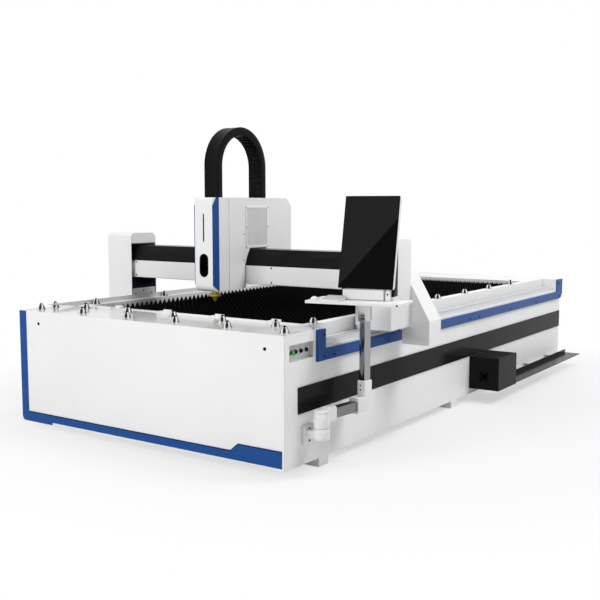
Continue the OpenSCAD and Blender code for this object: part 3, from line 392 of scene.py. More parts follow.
class Finish(Tree):
    """One material on a Principled shader."""

    def __init__(self, name, **constants):
        self.material = bpy.data.materials.new(name)
        super().__init__(self.material)
        self.shader = self.found("BSDF_PRINCIPLED")
        self.set(**constants)

    def set(self, **inputs):
        """Sets or links the shader's own sockets, named with underscores for spaces."""
        for key, value in inputs.items():
            self.feed(self.shader.inputs[key.replace("_", " ")], value)

    def place(self, stretch=None):
        """Object coordinates, stretched along each axis if asked."""
        where = self.node("TexCoord", {}, "Object")
        if stretch is None:
            return where
        return self.node("Mapping", {"Vector": where, "Scale": stretch}, vector_type="POINT")

    def noise(self, where, scale, detail=2.0):
        """Cloudy noise from 0 to 1."""
        return self.node("TexNoise", {"Vector": where, "Scale": scale, "Detail": detail})

    def mix(self, factor, first, second):
        """Blends two colours."""
        pair = [c if isinstance(c, Wire) else (*c, 1) for c in (first, second)]
        return self.node("Mix", {0: factor, 6: pair[0], 7: pair[1]}, 2, data_type="RGBA")

    def mottle(self, noise, colour, dark, light):
        """A colour that grows from darker to lighter with a noise."""
        return self.mix(noise.span(0.3, 0.7), shade(colour, dark), shade(colour, light))

    def dot(self, first, second):
        """How far one direction runs along another."""
        return self.node("VectorMath", {0: first, 1: second}, "Value", operation="DOT_PRODUCT")

    def normal(self, kind="Normal"):
        """The surface's own normal, smooth or true."""
        return self.node("NewGeometry", {}, kind)

    def rounded(self, radius):
        """Normal of softly rounded edges."""
        return self.node("Bevel", {"Radius": radius}, samples=4)

    def edges(self, soft):
        """Mask of the edges where the rounded normal leaves the flat one."""
        return (1 - self.dot(soft, self.normal("True Normal"))).span(0.02, 0.25)

    def bump(self, height, strength, depth, soft):
        """Bump over a rounded normal."""
        return self.node(
            "Bump", {"Strength": strength, "Distance": depth, "Height": height, "Normal": soft})


def shade(colour, factor):
    """A colour made lighter or darker."""
    return tuple(min(1.0, channel * factor) for channel in colour)


def grey(level):
    """A colour with equal channels."""
    return (level, level, level)


def powder_coat(name, colour, rough, edge, peel=0.25, shine=0.5):
    """Sprayed and baked paint: a fine orange peel, broad tone changes, and edges painted lighter as a painted
    highlight.
    """
    f = Finish(name, Specular_IOR_Level=shine)
    where = f.place()
    soft = f.rounded(radius=0.0025)
    cloud = f.noise(where, scale=1.7, detail=3.0)
    grain = f.noise(where, scale=460.0, detail=1.0)
    tone = f.mottle(cloud, colour, dark=0.965, light=1.02)
    speckled = f.mix(grain.span(0.55, 0.8, 0.0, 0.12), tone, shade(colour, 0.8))
    # Painted highlight: the edge mask lightens the paint towards the edge colour
    f.set(
        Base_Color=f.mix(f.edges(soft) * 0.35, speckled, edge),
        Roughness=cloud.span(0.25, 0.75, rough * 0.85, rough * 1.15) + (grain - 0.5) * 0.04,
        Normal=f.bump(grain, strength=peel, depth=0.0004, soft=soft))
    return f.material


def deck_coat(name, colour, top):
    """Glossy paint whose upward faces are painted greyer, a painted shade."""
    f = Finish(name)
    # Painted shade: faces that look up take the greyer colour
    up = f.dot(f.normal(), (0, 0, 1))
    cloud = f.noise(f.place(), scale=2.2, detail=3.0)
    painted_shade_top = f.mottle(cloud, top, dark=0.95, light=1.05)
    f.set(
        Base_Color=f.mix(up.span(0.8, 0.95), colour, painted_shade_top),
        Roughness=cloud.span(0.25, 0.75, 0.08, 0.14),
        Normal=f.rounded(radius=0.0025))
    return f.material


def bare_metal(name, colour, rough, stretch, streak, metallic=1.0):
    """Ground or drawn metal with streaks along its grain, and a painted highlight that lightens its edges."""
    f = Finish(name, Metallic=metallic)
    soft = f.rounded(radius=0.0015)
    grain = f.noise(f.place(stretch), scale=1.0, detail=3.0)
    cloud = f.noise(f.place(), scale=3.0)
    tone = f.mottle(grain, colour, dark=1 - streak, light=1 + streak)
    # Painted highlight: the edge mask lightens the metal along its edges
    f.set(
        Base_Color=f.mix(f.edges(soft) * 0.5, tone, shade(colour, 1.2)),
        Roughness=cloud.span(0.2, 0.8, rough * 0.8, rough * 1.2) + (grain - 0.5) * 0.1,
        Normal=f.bump(grain, strength=0.12, depth=0.0003, soft=soft))
    return f.material


def moulded(name, colour, rough, texture=0.3, shine=0.4):
    """Moulded plastic with a fine eroded texture."""
    f = Finish(name, Specular_IOR_Level=shine)
    where = f.place()
    grain = f.noise(where, scale=900.0, detail=1.0)
    cloud = f.noise(where, scale=9.0)
    f.set(
        Base_Color=f.mottle(cloud, colour, dark=0.92, light=1.06),
        Roughness=cloud.span(0.2, 0.8, rough * 0.85, rough * 1.15),
        Normal=f.bump(grain, strength=texture, depth=0.0002, soft=f.rounded(radius=0.001)))
    return f.material


def scorched_steel(name, colour):
    """Cut steel blackened by heat and slag, with a few rusty specks."""
    f = Finish(name, Specular_IOR_Level=0.05)
    where = f.place()
    soot = f.noise(where, scale=14.0, detail=4.0)
    slag = f.noise(where, scale=260.0, detail=3.0)
    dark = f.mix(soot.span(0.35, 0.7), shade(colour, 0.6), shade(colour, 1.5))
    rust = (0.05, 0.035, 0.025)
    f.set(
        Base_Color=f.mix(slag.span(0.68, 0.76, 0.0, 0.5), dark, rust),
        Roughness=soot.span(0.2, 0.8, 0.45, 0.7),
        Normal=f.bump(slag, strength=0.4, depth=0.0006, soft=f.rounded(radius=0.0008)))
    return f.material


def display_glass(name, dark, light):
    """Switched-off display: smooth black glass, its picture area split by one soft diagonal line into a dark
    part and a lighter part, a painted reflection.
    """
    f = Finish(name, Specular_IOR_Level=0.03)
    where = f.place()
    start = SCREEN @ Vector((-0.1525, 0, 0.008))
    end = SCREEN @ Vector((0.1525, 0, 0.378))
    upright = SCREEN.to_3x3() @ Vector((0, 1, 0))
    across = (end - start).normalized().cross(upright).normalized()
    if across.z > 0:
        across.negate()
    blur = 0.0015
    # Painted reflection: a fixed diagonal line across the screen, with the glass painted lighter above it
    painted_sheen_mask = (f.dot(where, across) - across.dot(start)).span(-blur, blur)
    smear = f.noise(where, scale=6.0, detail=3.0)
    f.set(
        Base_Color=f.mix(painted_sheen_mask, light, dark),
        Roughness=smear.span(0.3, 0.7, 0.16, 0.24),
        Normal=f.rounded(radius=0.0015))
    return f.material


def chrome_painted_reflections(name):
    """Chrome domes with painted reflections: a painted dark middle and rim and a painted bright ring between
    them, set by how far each face turns towards one fixed direction, over the real metallic reflection.
    """
    f = Finish(name, Metallic=0.6)
    # Painted reflection: the dome's colour changes with the angle to this fixed direction, not with any lamp
    ahead = Vector((0.5, -0.8, 0.33)).normalized()
    facing = f.dot(f.normal(), ahead)
    rim, painted_glint, painted_dark_middle = (0.04, 0.04, 0.045), (0.85, 0.86, 0.88), grey(0.015)
    ring = f.mix(facing.span(0.5, 0.68), rim, painted_glint)
    f.set(
        Base_Color=f.mix(facing.span(0.88, 0.94), ring, painted_dark_middle),
        Roughness=f.noise(f.place(), scale=30.0).span(0.3, 0.7, 0.12, 0.2))
    return f.material


def colour_setting(name, description, default):
    """A colour in the panel."""
    return FloatVectorProperty(
        name=name, description=description, subtype="COLOR", size=3, min=0, max=1, default=default)


def radius_setting(name, description, low, high, default):
    """A radius in the panel."""
    return FloatProperty(
        name=name, description=description, unit="LENGTH", min=low, max=high, default=default)


class CutterColours(bpy.types.PropertyGroup):
    """Colours of the machine's finishes."""

    white: colour_setting("White", "Paint of the bed, covers and console", (0.83, 0.83, 0.83))
    blue: colour_setting("Blue", "Paint of the trims", (0.012, 0.07, 0.27))
    black: colour_setting("Black", "Paint of the side bands, beam hood and cable box", (0.011, 0.011, 0.0115))
    brass: colour_setting("Brass", "Turned brass of the nozzle", (0.52, 0.40, 0.05))
    green: colour_setting("Green", "Plastic of the start button", (0.012, 0.36, 0.015))


class CutterSizes(bpy.types.PropertyGroup):
    """Sizes of the small pieces that only the visual model has."""

    bolt_radius: radius_setting("Bolt radius", "Radius of the larger screw heads", 0.003, 0.012, 0.007)
    screw_radius: radius_setting("Screw radius", "Radius of the smaller screw heads", 0.002, 0.008, 0.0045)
    slat_teeth: IntProperty(
        name="Slat teeth", description="Points along one slat", min=12, max=60, default=39)
    chain_rungs: IntProperty(
        name="Chain rungs", description="Rungs inside the bend of the cable chain", min=8, max=40, default=20)


class CUTTER_OT_finishes(bpy.types.Operator):
    """Makes every finish and paints the CAD nodes"""

    bl_idname = "cutter.finishes"
    bl_label = "Finishes"

    def execute(self, context):
        c = context.scene.cutter_colours
        white, blue, black = tuple(c.white), tuple(c.blue), tuple(c.black)
        drawn_up, drawn_along = (320, 320, 9), (320, 9, 320)
        FINISHES.update({
            # The edge colours of the paints are painted edge highlights, lighter than each paint
            "white_paint": powder_coat("white_powder_coat", white, rough=0.38, edge=grey(0.9)),
            "blue_paint": powder_coat(
                "blue_powder_coat", blue, rough=0.36, edge=shade(blue, 1.5), shine=0.12),
            "black_paint": powder_coat(
                "black_gloss_coat", black, rough=0.16, edge=grey(0.03), peel=0.1, shine=0.04),
            "navy_paint": powder_coat(
                "navy_paint", (0.002, 0.003, 0.028), rough=0.4, edge=(0.005, 0.008, 0.05), shine=0.08),
            "grey_paint": powder_coat("grey_paint", (0.6, 0.61, 0.62), rough=0.42, edge=grey(0.7)),
            "dark_steel": scorched_steel("scorched_steel", grey(0.002)),
            "machined_steel": bare_metal(
                "ground_steel", (0.7, 0.71, 0.73), 0.5, stretch=(300, 14, 300), streak=0.08, metallic=0.5),
            "chrome": bare_metal("polished_chrome", (0.82, 0.83, 0.85), 0.07, (40, 40, 40), streak=0.03),
            "aluminium": bare_metal("drawn_aluminium", (0.55, 0.56, 0.57), 0.24, drawn_up, streak=0.08),
            "brass": bare_metal(
                "turned_brass", tuple(c.brass), 0.3, stretch=(60, 60, 700), streak=0.12, metallic=0.4),
            "black_plastic": moulded("black_plastic", (0.006, 0.006, 0.0063), rough=0.36, shine=0.05),
            "green_plastic": moulded("green_plastic", tuple(c.green), rough=0.22, texture=0.05),
            "white_plastic": moulded("white_plastic", grey(0.8), rough=0.4),
            # The lighter glass colour is a painted reflection
            "screen_glass": display_glass("display_glass", dark=grey(0.0025), light=grey(0.015)),
            # Ball domes with painted reflections
            "chrome_painted_reflections": chrome_painted_reflections("chrome_painted_reflections"),
            "dark_anodised": bare_metal("dark_anodised", (0.2, 0.2, 0.21), 0.3, drawn_along, streak=0.1),
            "mast_metal": bare_metal("mast_metal", (0.33, 0.335, 0.345), 0.16, drawn_up, streak=0.08),
            # The greyer top of the deck coat is painted shade
            "deck_coat": deck_coat("deck_coat", white, top=(0.6, 0.6, 0.605)),
        })
        for part in frame["record"]["subparts"]:
            data = frame["nodes"][part["node"]].data
            data.materials.clear()
            deck = part["node"] == "front_cabinet"
            data.materials.append(FINISHES["deck_coat" if deck else part["material_slot"]])
        return {"FINISHED"}


class CUTTER_OT_slats(bpy.types.Operator):
    """Zigzag slats of the cutting table"""

    bl_idname = "cutter.slats"
    bl_label = "Slats"

    def execute(self, context):
        teeth = context.scene.cutter_sizes.slat_teeth
        half, y, bottom, root, tip = 817, (450.5, 454.5), 561, 693, 729
        rows, pitch = 73, 45
        piece = start_box("zigzag_slats", (-half, half), y, (bottom, root))
        step = half / teeth
        with editing(piece):
            pick("EDGE", lambda e: along(e, X) and lies(e, z=root))
            bpy.ops.mesh.subdivide(number_cuts=2 * teeth - 1)
            pick("VERT", lambda v: lies(v, z=root) and round((middle(v).x + half) / step) % 2 == 1)
            shift(0, 0, tip - root)
        row(piece, rows, (0, pitch, 0))
        done(piece, "bed", "dark_steel", "slats")
        return {"FINISHED"}


class CUTTER_OT_ball_domes(bpy.types.Operator):
    """Domed cups of the ball transfer units"""

    bl_idname = "cutter.ball_domes"
    bl_label = "Ball domes"

    def execute(self, context):
        deck, radius, flange = 741, 25, 4
        # Border and rise of each ring from the flange up, and last the drop inside the mouth
        rings = ((3, 0), (0.5, 6), (1.5, 6), (3, 7), (4, 6), (1.5, 2), (0.5, 0), (0.2, -6))
        cup = start_bar("ball_domes", (0, 0, flange / 2), radius, flange, "Z", 24)
        with editing(cup):
            for border, rise in rings:
                pick_cap()
                sink(border, -rise)
        front_row = [(13 + 185 * i, 93) for i in (-5, -3, -1, 1, 3, 5)]
        second_row = [(27 + 365 * i, 268) for i in (-2, -1, 0, 1, 2)]
        corner = [(-925, 215)]
        walls = [(850 * s, y) for s in (-1, 1) for y in (490, 1140, 1596, 2052, 2508, 2964, 3420)]
        places = [at(x, y, deck) for x, y in front_row + second_row + corner + walls]
        # The domes take the chrome with painted reflections
        done(repeat(cup, places), "bed", "chrome", "ball_cups", look="chrome_painted_reflections")
        return {"FINISHED"}


class CUTTER_OT_panel_plugs(bpy.types.Operator):
    """Rubber plugs in the two holes of the front panel"""

    bl_idname = "cutter.panel_plugs"
    bl_label = "Panel plugs"

    def execute(self, context):
        height, radius, length = 666, 9, 7
        plug = start_bar("panel_plugs", (0, 1, height), radius, length, "Y", 24)
        with editing(plug):
            sink_side(Y, -1, 2.5, 2)
        soften(plug, 0.6)
        done(repeat(plug, [at(x, 0, 0) for x in (-828, 882)]), "bed", "black_plastic")
        return {"FINISHED"}


class CUTTER_OT_trim_painted_shadow(bpy.types.Operator):
    """Black strip along the upper edge of the front trim, a painted shadow of the panel's edge above the trim
    """

    bl_idname = "cutter.trim_seal"
    bl_label = "Trim seal"

    def execute(self, context):
        low, high, thick = 113, 155, 4.5
        start, slope_start, slope_end, end = -937, 657, 707, 987
        # Painted shadow: a thin black strip in front of the panel along the trim's upper edges
        painted_shadow = start_box("trim_seal", (start, slope_start), (-4.6, -3.9), (low - thick, low))
        with editing(painted_shadow):
            for run, rise in ((slope_end - slope_start, high - low), (end - slope_end, 0)):
                pick_side(X, 1)
                draw_out(run, 0, rise)
        outward(painted_shadow)
        done(painted_shadow, "bed", "black_plastic")
        return {"FINISHED"}


class CUTTER_OT_end_covers(bpy.types.Operator):
    """Folded covers on the two ends of the gantry"""

    bl_idname = "cutter.end_covers"
    bl_label = "End covers"

    def execute(self, context):
        front, rear, bottom, top, beam_top = 869, 1110, 672, 1193, 1122
        shells = []
        for side in (-1, 1):
            inner, outer = 901 * side, 1127 * side
            piece = start_box("end_cover_shells", sorted((inner, outer)), (front, rear), (bottom, top))
            with editing(piece):
                round_along(X, 31, 4, y=front, z=top)
                round_along(X, 39, 4, y=rear, z=top)
                pick("FACE", lambda f: lies(f, x=outer))
                bpy.ops.mesh.region_to_loop()
                bevel(5, 3)
                bpy.ops.mesh.select_all(action="SELECT")
                bpy.ops.mesh.bisect(plane_co=(0, 0, beam_top * MM), plane_no=(0, 0, 1))
                pick("FACE", lambda f: lies(f, z=bottom) or (lies(f, x=inner) and middle(f).z < beam_top))
                bpy.ops.mesh.delete(type="FACE")
            thicken(piece)
            shells.append(piece)
        done(join(shells), "gantry", "white_paint", "end_covers")
        return {"FINISHED"}


class CUTTER_OT_gussets(bpy.types.Operator):
    """Black gussets under the ends of the beam, and the dark linings of the end covers"""

    bl_idname = "cutter.gussets"
    bl_label = "Gussets and linings"

    def execute(self, context):
        front, rear, low, high = 872, 1107, 836, 889
        plates = []
        for side in (-1, 1):
            gusset = start_box("gussets", sorted((897 * side, 901 * side)), (front, rear), (low, high))
            with editing(gusset):
                for end, inwards in ((front, 93), (rear, -67)):
                    pick("VERT", lambda v: lies(v, y=end, z=low))
                    shift(0, inwards, 0)
            soften(gusset, 0.8)
            x = sorted((1121 * side, 1123.5 * side))
            lining = slab("linings", x, (874, 1105), (690, 1150), X, 20, 4, sunk=(-side, 8, 0.8))
            plates += [gusset, lining]
        done(join(plates, "gantry_gussets"), "gantry", "black_paint")
        return {"FINISHED"}


class CUTTER_OT_front_hood(bpy.types.Operator):
    """Folded hood over the cutting head, with its oval window and slot"""

    bl_idname = "cutter.front_hood"
    bl_label = "Front hood"

    def execute(self, context):
        half, front, rear, bottom, top = 69.5, 576, 734, 862, 1430
        piece = start_box("head_hood", (-half, half), (front, rear), (bottom, top))
        with editing(piece):
            round_along(X, 26, 6, y=front, z=top)
            round_along(X, 38, 6, y=front, z=bottom)
            round_along(Z, 4, 3, y=front)
            pick("FACE", lambda f: lies(f, y=rear) or (lies(f, z=bottom) and f.normal.z < -FACING))
            bpy.ops.mesh.delete(type="FACE")
        thicken(piece)
        window, radius, stretch = 1020, 35, 36.5
        oval = start_bar("oval_cutter", (0, front, window), radius, 40, "Y", 48)
        with editing(oval):
            for sign in (1, -1):
                pick("VERT", lambda v: (middle(v).z - window - 0.5) * sign > 0)
                shift(0, 0, stretch * sign)
        slot = start_box("slot_cutter", (-5, 5), (560, 600), (1164, 1332))
        soften(slot, 4, 3)
        cut(piece, oval, slot)
        done(piece, "carriage", "white_paint", "front_hood")
        return {"FINISHED"}


class CUTTER_OT_hood_linings(bpy.types.Operator):
    """Dark linings behind the hood's window and slot, and the gas tube in the window"""

    bl_idname = "cutter.hood_linings"
    bl_label = "Hood linings"

    def execute(self, context):
        front = 579.5
        tub = slab("window_tub", (-42, 42), (front, 640), (942, 1098), Y, 40, 10, sunk=(-1, 4, 56))
        soften(tub, 1)
        strip = start_box("slot_strip", (-11, 11), (front, 584), (1156, 1340))
        with editing(strip):
            sink_side(Y, -1, 4, 2)
        done(join([tub, strip]), "carriage", "black_plastic")
        height, length = 1018, 150
        tube = start_bar("gas_tube", (20, 618, height), 9, length, "Z", 24)
        with editing(tube):
            pick("EDGE", lambda e: near(abs(middle(e).z - height), length / 2))
            bevel(3, 3)
        done(tube, "carriage", "machined_steel")
        return {"FINISHED"}


class CUTTER_OT_vents(bpy.types.Operator):
    """Expanded-metal vents on both sides of the carriage cover"""

    bl_idname = "cutter.vents"
    bl_label = "Vents"

    def strands(self, x, y, z):
        """Two sets of zigzag strands that cross and leave diamonds between them."""
        across, rows, thick = 7, 16, 1.5
        width, rise = (y[1] - y[0]) / across, (z[1] - z[0] - thick) / rows
        made = []
        for first in (0, 1):
            strand = start_box("vent_lattices", x, y, (z[0], z[0] + thick))
            with editing(strand):
                pick("EDGE", lambda e: along(e, Y))
                bpy.ops.mesh.subdivide(number_cuts=across - 1)
                pick("VERT", lambda v: round((middle(v).y - y[0]) / width) % 2 == first)
                shift(0, 0, rise)
            row(strand, rows, (0, 0, rise))
            made.append(strand)
        return made

    def execute(self, context):
        frames, lattices, backs = [], [], []
        face, y, z, rim, hem = 69.5, (900, 1140), (1114, 1378), 16, 6
        hole = [(low + rim, high - rim) for low, high in (y, z)]
        cloth = [(low + hem, high - hem) for low, high in (y, z)]
        for side in (-1, 1):
            # From the cover's side: the frame, the cutter of its hole, the strands and the filter
            plate, cutter, lattice, back = (
                sorted((face * side + start * side, face * side + end * side))
                for start, end in ((0, 2.4), (-9, 9), (0.3, 1.9), (0.1, 0.3)))
            vent = slab("vent_frames", plate, y, z, X, 8, 3)
            cut(vent, slab("vent_hole", cutter, *hole, X, 5, 3))
            soften(vent, 0.7)
            frames.append(vent)
            lattices += self.strands(lattice, *hole)
            backs.append(slab("vent_filters", back, *cloth, X, 6, 3))
        done(join(frames), "carriage", "white_paint", "side_vents")
        # The strands are painted grey as painted shade; being raised, they also cast real small shadows on
        # the white filter
        done(join(lattices), "carriage", "grey_paint")
        done(join(backs), "carriage", "white_paint")
        return {"FINISHED"}


class CUTTER_OT_cable_chain(bpy.types.Operator):
    """Arch of the cable chain with rungs on its inner side"""

    bl_idname = "cutter.cable_chain"
    bl_label = "Cable chain"

    def execute(self, context):
        rungs, leg_rungs = context.scene.cutter_sizes.chain_rungs, 5
        centre = Vector((0, 895, 1619))
        outer, inner, leg = 247, 195, 189
        piece = start_box("chain_arch", (-50, 50), (centre.y - outer, centre.y - inner), (1610, centre.z))
        with editing(piece):
            pick("FACE", lambda f: f.normal.z < FACING)
            bpy.ops.mesh.delete(type="FACE")
            pick("FACE", lambda f: True)
            bpy.ops.mesh.spin(steps=48, angle=math.pi, center=centre * MM, axis=(1, 0, 0))
        outward(piece)
        with editing(piece):
            pick("FACE", lambda f: len(f.verts) == 4 and abs(f.normal.z) > STRAIGHT and lies(f, z=centre.z))
            draw_out(0, 0, -leg)
        outward(piece)

        def reach(part):
            """Distance of a place from the middle line of the arch."""
            spot = middle(part) - centre
            return abs(spot.y) if spot.z < 0 else math.hypot(spot.y, spot.z)

        with editing(piece):
            for radius, border, depth in ((inner, 9, 7), (outer, 6, 1.5)):
                pick("FACE", lambda f: (
                    near(reach(f), radius, 3) and abs(f.normal.x) < ASIDE and f.normal.z > -STRAIGHT))
                sink(border, depth)
        soften(piece, 1.5)
        done(piece, "carriage", "black_plastic", "cable_chain")
        rung = start_box("chain_rungs", (-41.5, 41.5), (-inner - 7.5, -inner - 1), (-5, 5))
        soften(rung, 2)
        places = [
            at(*centre) @ Matrix.Rotation(-math.pi * (i + 0.5) / rungs, 4, "X") for i in range(rungs)]
        for side in (0, math.pi):
            for i in range(leg_rungs):
                drop = Vector((0, 0, (i + 0.5) * leg / leg_rungs))
                places.append(at(*(centre - drop)) @ Matrix.Rotation(side, 4, "Z"))
        done(repeat(rung, places), "carriage", "black_plastic")
        return {"FINISHED"}


class CUTTER_OT_swing_arm(bpy.types.Operator):
    """Cast knuckle and elbow and the drawn tubes of the console's arm"""

    bl_idname = "cutter.swing_arm"
    bl_label = "Swing arm"

    def execute(self, context):
        radius, sides = 42, 64
        knuckle = start_bar("arm_knuckle_casting", (0, 0, 290.8), radius, 74.8, "Z", sides)
        with editing(knuckle):
            sink_side(Z, 1, 1.4, 0)
            sink(SLIVER, -2)
        cap = start_bar("knuckle_cap", (0, 0, 335), radius, 10, "Z", sides)
        with editing(cap):
            sink_side(Z, 1, 4, -3)
            sink(1.5, 1)
        weld(knuckle, cap, start_bar("shadow_gap", (0, 0, 251.4), 37, 6, "Z", sides))
        neck_end, neck_z = 90, (273, 353)
        neck = start_box("neck", (-28, 28), (20, neck_end), neck_z)
        with editing(neck):
            round_along(Y, 13, 3)
            pick_side(Y, 1)
            bpy.ops.transform.resize(
                value=(1.04, 1, 1), center_override=(0, neck_end * MM, sum(neck_z) / 2 * MM))
        weld(knuckle, neck)
        cut(knuckle, start_bar("bore", (0, 0, 285.4), 20.05, 90.6, "Z", 48))
        soften(knuckle, 2)
        done(knuckle, "console", "white_paint", "arm_knuckle", place=ARM)
        broad = 0.004
        for name, x, y, z, axis, look, nodes in (
                ("arm_tube", (-25, 25), (neck_end, 278), (286, 340), Y, "dark_anodised", ("arm_tubes",)),
                ("mast", (-20, 20), (350.5, 403.5), (442, 764), Z, "mast_metal", ())):
            tube = start_box(name, x, y, z)
            with editing(tube):
                round_along(axis, 5, 3)
                pick("FACE", lambda f: abs(f.normal[axis]) < ASIDE and f.calc_area() > broad)
                bpy.ops.mesh.inset(thickness=9 * MM, depth=-2.2 * MM, use_individual=True)
            soften(tube, 0.8)
            done(tube, "console", "aluminium", *nodes, place=ARM, look=look)
        rear, bottom = 410, 276
        elbow = start_box("arm_elbow_casting", (-27, 27), (286, rear), (bottom, 442))
        with editing(elbow):
            round_along(X, 64, 8, y=rear, z=bottom)
        cut(elbow, start_box("elbow_notch", (-40, 40), (260, 344), (356, 460)))
        soften(elbow, 6, 3)
        flange = slab("flange", (-33, 33), (278, 287), (272, 360), Y, 14, 4)
        soften(flange, 1.5)
        weld(elbow, flange)
        done(elbow, "console", "white_paint", "arm_elbow", place=ARM)
        return {"FINISHED"}


class CUTTER_OT_wall_bracket(bpy.types.Operator):
    """Wall plate of the console with its raised pad, neck and the fixed half of the post"""

    bl_idname = "cutter.wall_bracket"
    bl_label = "Wall bracket"

    def execute(self, context):
        post_x, post_y = 1090, 205
        plate = slab("wall_bracket", (1000, 1012), (156, 255), (153, 258), X, 14, 4, sunk=(1, 12, -6))
        soften(plate, 2)
        neck = start_box("bracket_neck", (1010, post_x), (170, 240), (194, 236))
        soften(neck, 8, 3)
        post = start_bar("bracket_post", (post_x, post_y, 219), 42, 58, "Z", 64)
        soften(post, 2)
        pin = start_bar("bracket_pin", (post_x, post_y, 288.5), 20, 83, "Z", 48)
        weld(plate, neck, post, pin)
        done(plate, "bed", "white_paint", "arm_base")
        return {"FINISHED"}


class CUTTER_OT_console_tray(bpy.types.Operator):
    """Folded tray of the console with its rim, its tab on the mast and the mast's clamp"""

    bl_idname = "cutter.console_tray"
    bl_label = "Console tray"

    def execute(self, context):
        half_w, half_l, bottom, rim = 257.5, 126.5, 873, 887
        piece = slab(
            "tray_pan", (-half_w, half_w), (-half_l, half_l), (bottom, rim), Z, 9, 4, sunk=(1, 3, 2.5))
        soften(piece, 1)
        done(piece, "console", "white_paint", "tray", place=TRAY)
        low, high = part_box("mast_head")
        front, tab_end = 344, 743
        tab = start_box("tray_tab", (-41, -24.2), (front, 347), (tab_end, bottom))
        with editing(tab):
            round_along(Y, 6, 3, z=tab_end)
        soften(tab, 0.6)
        done(tab, "console", "white_paint", place=ARM)
        head = start_box("mast_clamp", (-24, 24), (front, 410), (low.z / MM, high.z / MM))
        with editing(head):
            round_along(Z, 4, 3)
            sink_side(X, 1, 10, 2)
        soften(head, 1)
        done(head, "console", "aluminium", "mast_head", place=ARM)
        return {"FINISHED"}


class CUTTER_OT_monitor(bpy.types.Operator):
    """Display with its bezel, the case's back panel and fins, and the hinge bracket beside the base"""

    bl_idname = "cutter.monitor"
    bl_label = "Monitor"

    def execute(self, context):
        half_w, height = 152.5, 498
        screen = slab("display", (-half_w, half_w), (0, 6), (0, height), Y, 5, 4, sunk=(-1, 2.5, 0.6))
        soften(screen, 0.8)
        done(screen, "monitor", "screen_glass", "screen", place=SCREEN)
        back = slab("case_back", (-110, 110), (45.5, 49), (70, 420), Y, 16, 4, sunk=(1, 6, 1.2))
        slots = start_box("vent_slot", (-80, 80), (40, 60), (300, 304))
        row(slots, 9, (0, 0, 11))
        cut(back, slots)
        soften(back, 0.6)
        done(back, "monitor", "white_plastic", place=SCREEN)
        fins = []
        fin_front, fin_top, fin_slope = 48, 1180, 65
        for x in ((-120, -107), (161, 174)):
            fin = start_box("monitor_fins", x, (fin_front, 118), (905, fin_top))
            with editing(fin):
                pick("VERT", lambda v: lies(v, y=fin_front, z=fin_top))
                shift(0, fin_slope, 0)
            soften(fin, 1)
            fins.append(fin)
        done(join(fins), "monitor", "black_plastic", place=TRAY)
        top = 940
        bracket = start_box("hinge_bracket", (136, 160), (26, 86), (886.8, top))
        with editing(bracket):
            round_along(Y, 7, 3, z=top)
            sink_side(Y, -1, 3, 1)
        soften(bracket, 0.8)
        done(bracket, "console", "white_paint", place=TRAY)
        return {"FINISHED"}


class CUTTER_OT_keypad_and_mouse(bpy.types.Operator):
    """Keypad with its keys, and the mouse, on the tray"""

    bl_idname = "cutter.keypad_and_mouse"
    bl_label = "Keypad and mouse"

    def execute(self, context):
        slope, length = 8, 110
        pad = start_box("keypad_case", (-180, -78), (-105, length - 105), (884.6, 903))
        with editing(pad):
            pick("VERT", lambda v: middle(v).y < -100 and middle(v).z > 900)
            shift(0, 0, -slope)
            round_along(Z, 6, 3)
            sink_side(Z, 1, 5, 3)
        soften(pad, 1)
        mouse_x, mouse_y, mouse_half_w, mouse_half_l = -231, -57, 19, 35
        clear()
        bpy.ops.mesh.primitive_uv_sphere_add(
            segments=32, ring_count=20, radius=1, location=Vector((mouse_x, mouse_y, 885)) * MM)
        bpy.context.object.scale = (mouse_half_w * MM, mouse_half_l * MM, mouse_half_w * MM)
        mouse = named("mouse")
        with editing(mouse):
            bpy.ops.mesh.select_all(action="SELECT")
            bpy.ops.mesh.bisect(
                plane_co=Vector((0, 0, 884.7)) * MM, plane_no=(0, 0, 1), clear_inner=True, use_fill=True)
            pick("FACE", lambda f: middle(f).y > -48 and near(middle(f).x, mouse_x, 2.5) and f.normal.z > 0.5)
            sink(0.6, 1.0)
        whole = join([pad, mouse], "keypad_and_mouse_cases")
        done(whole, "console", "white_plastic", "keypad_and_mouse", place=TRAY)
        key_h, taper = 6, 0.82
        key = start_box("keypad_keys", (-6, 6), (-7, 7), (0, key_h))
        with editing(key):
            pick_side(Z, 1)
            bpy.ops.transform.resize(value=(taper, taper, 1), center_override=(0, 0, key_h * MM))
        soften(key, 0.8)
        lean = Matrix.Rotation(math.atan2(slope, length), 4, "X")
        places = [
            at(-169 + 16 * i, -92 + 18.5 * j, 893.5 + slope * (j / 5)) @ lean
            for i in range(6) for j in range(6)]
        done(repeat(key, places), "console", "grey_paint", place=TRAY)
        return {"FINISHED"}


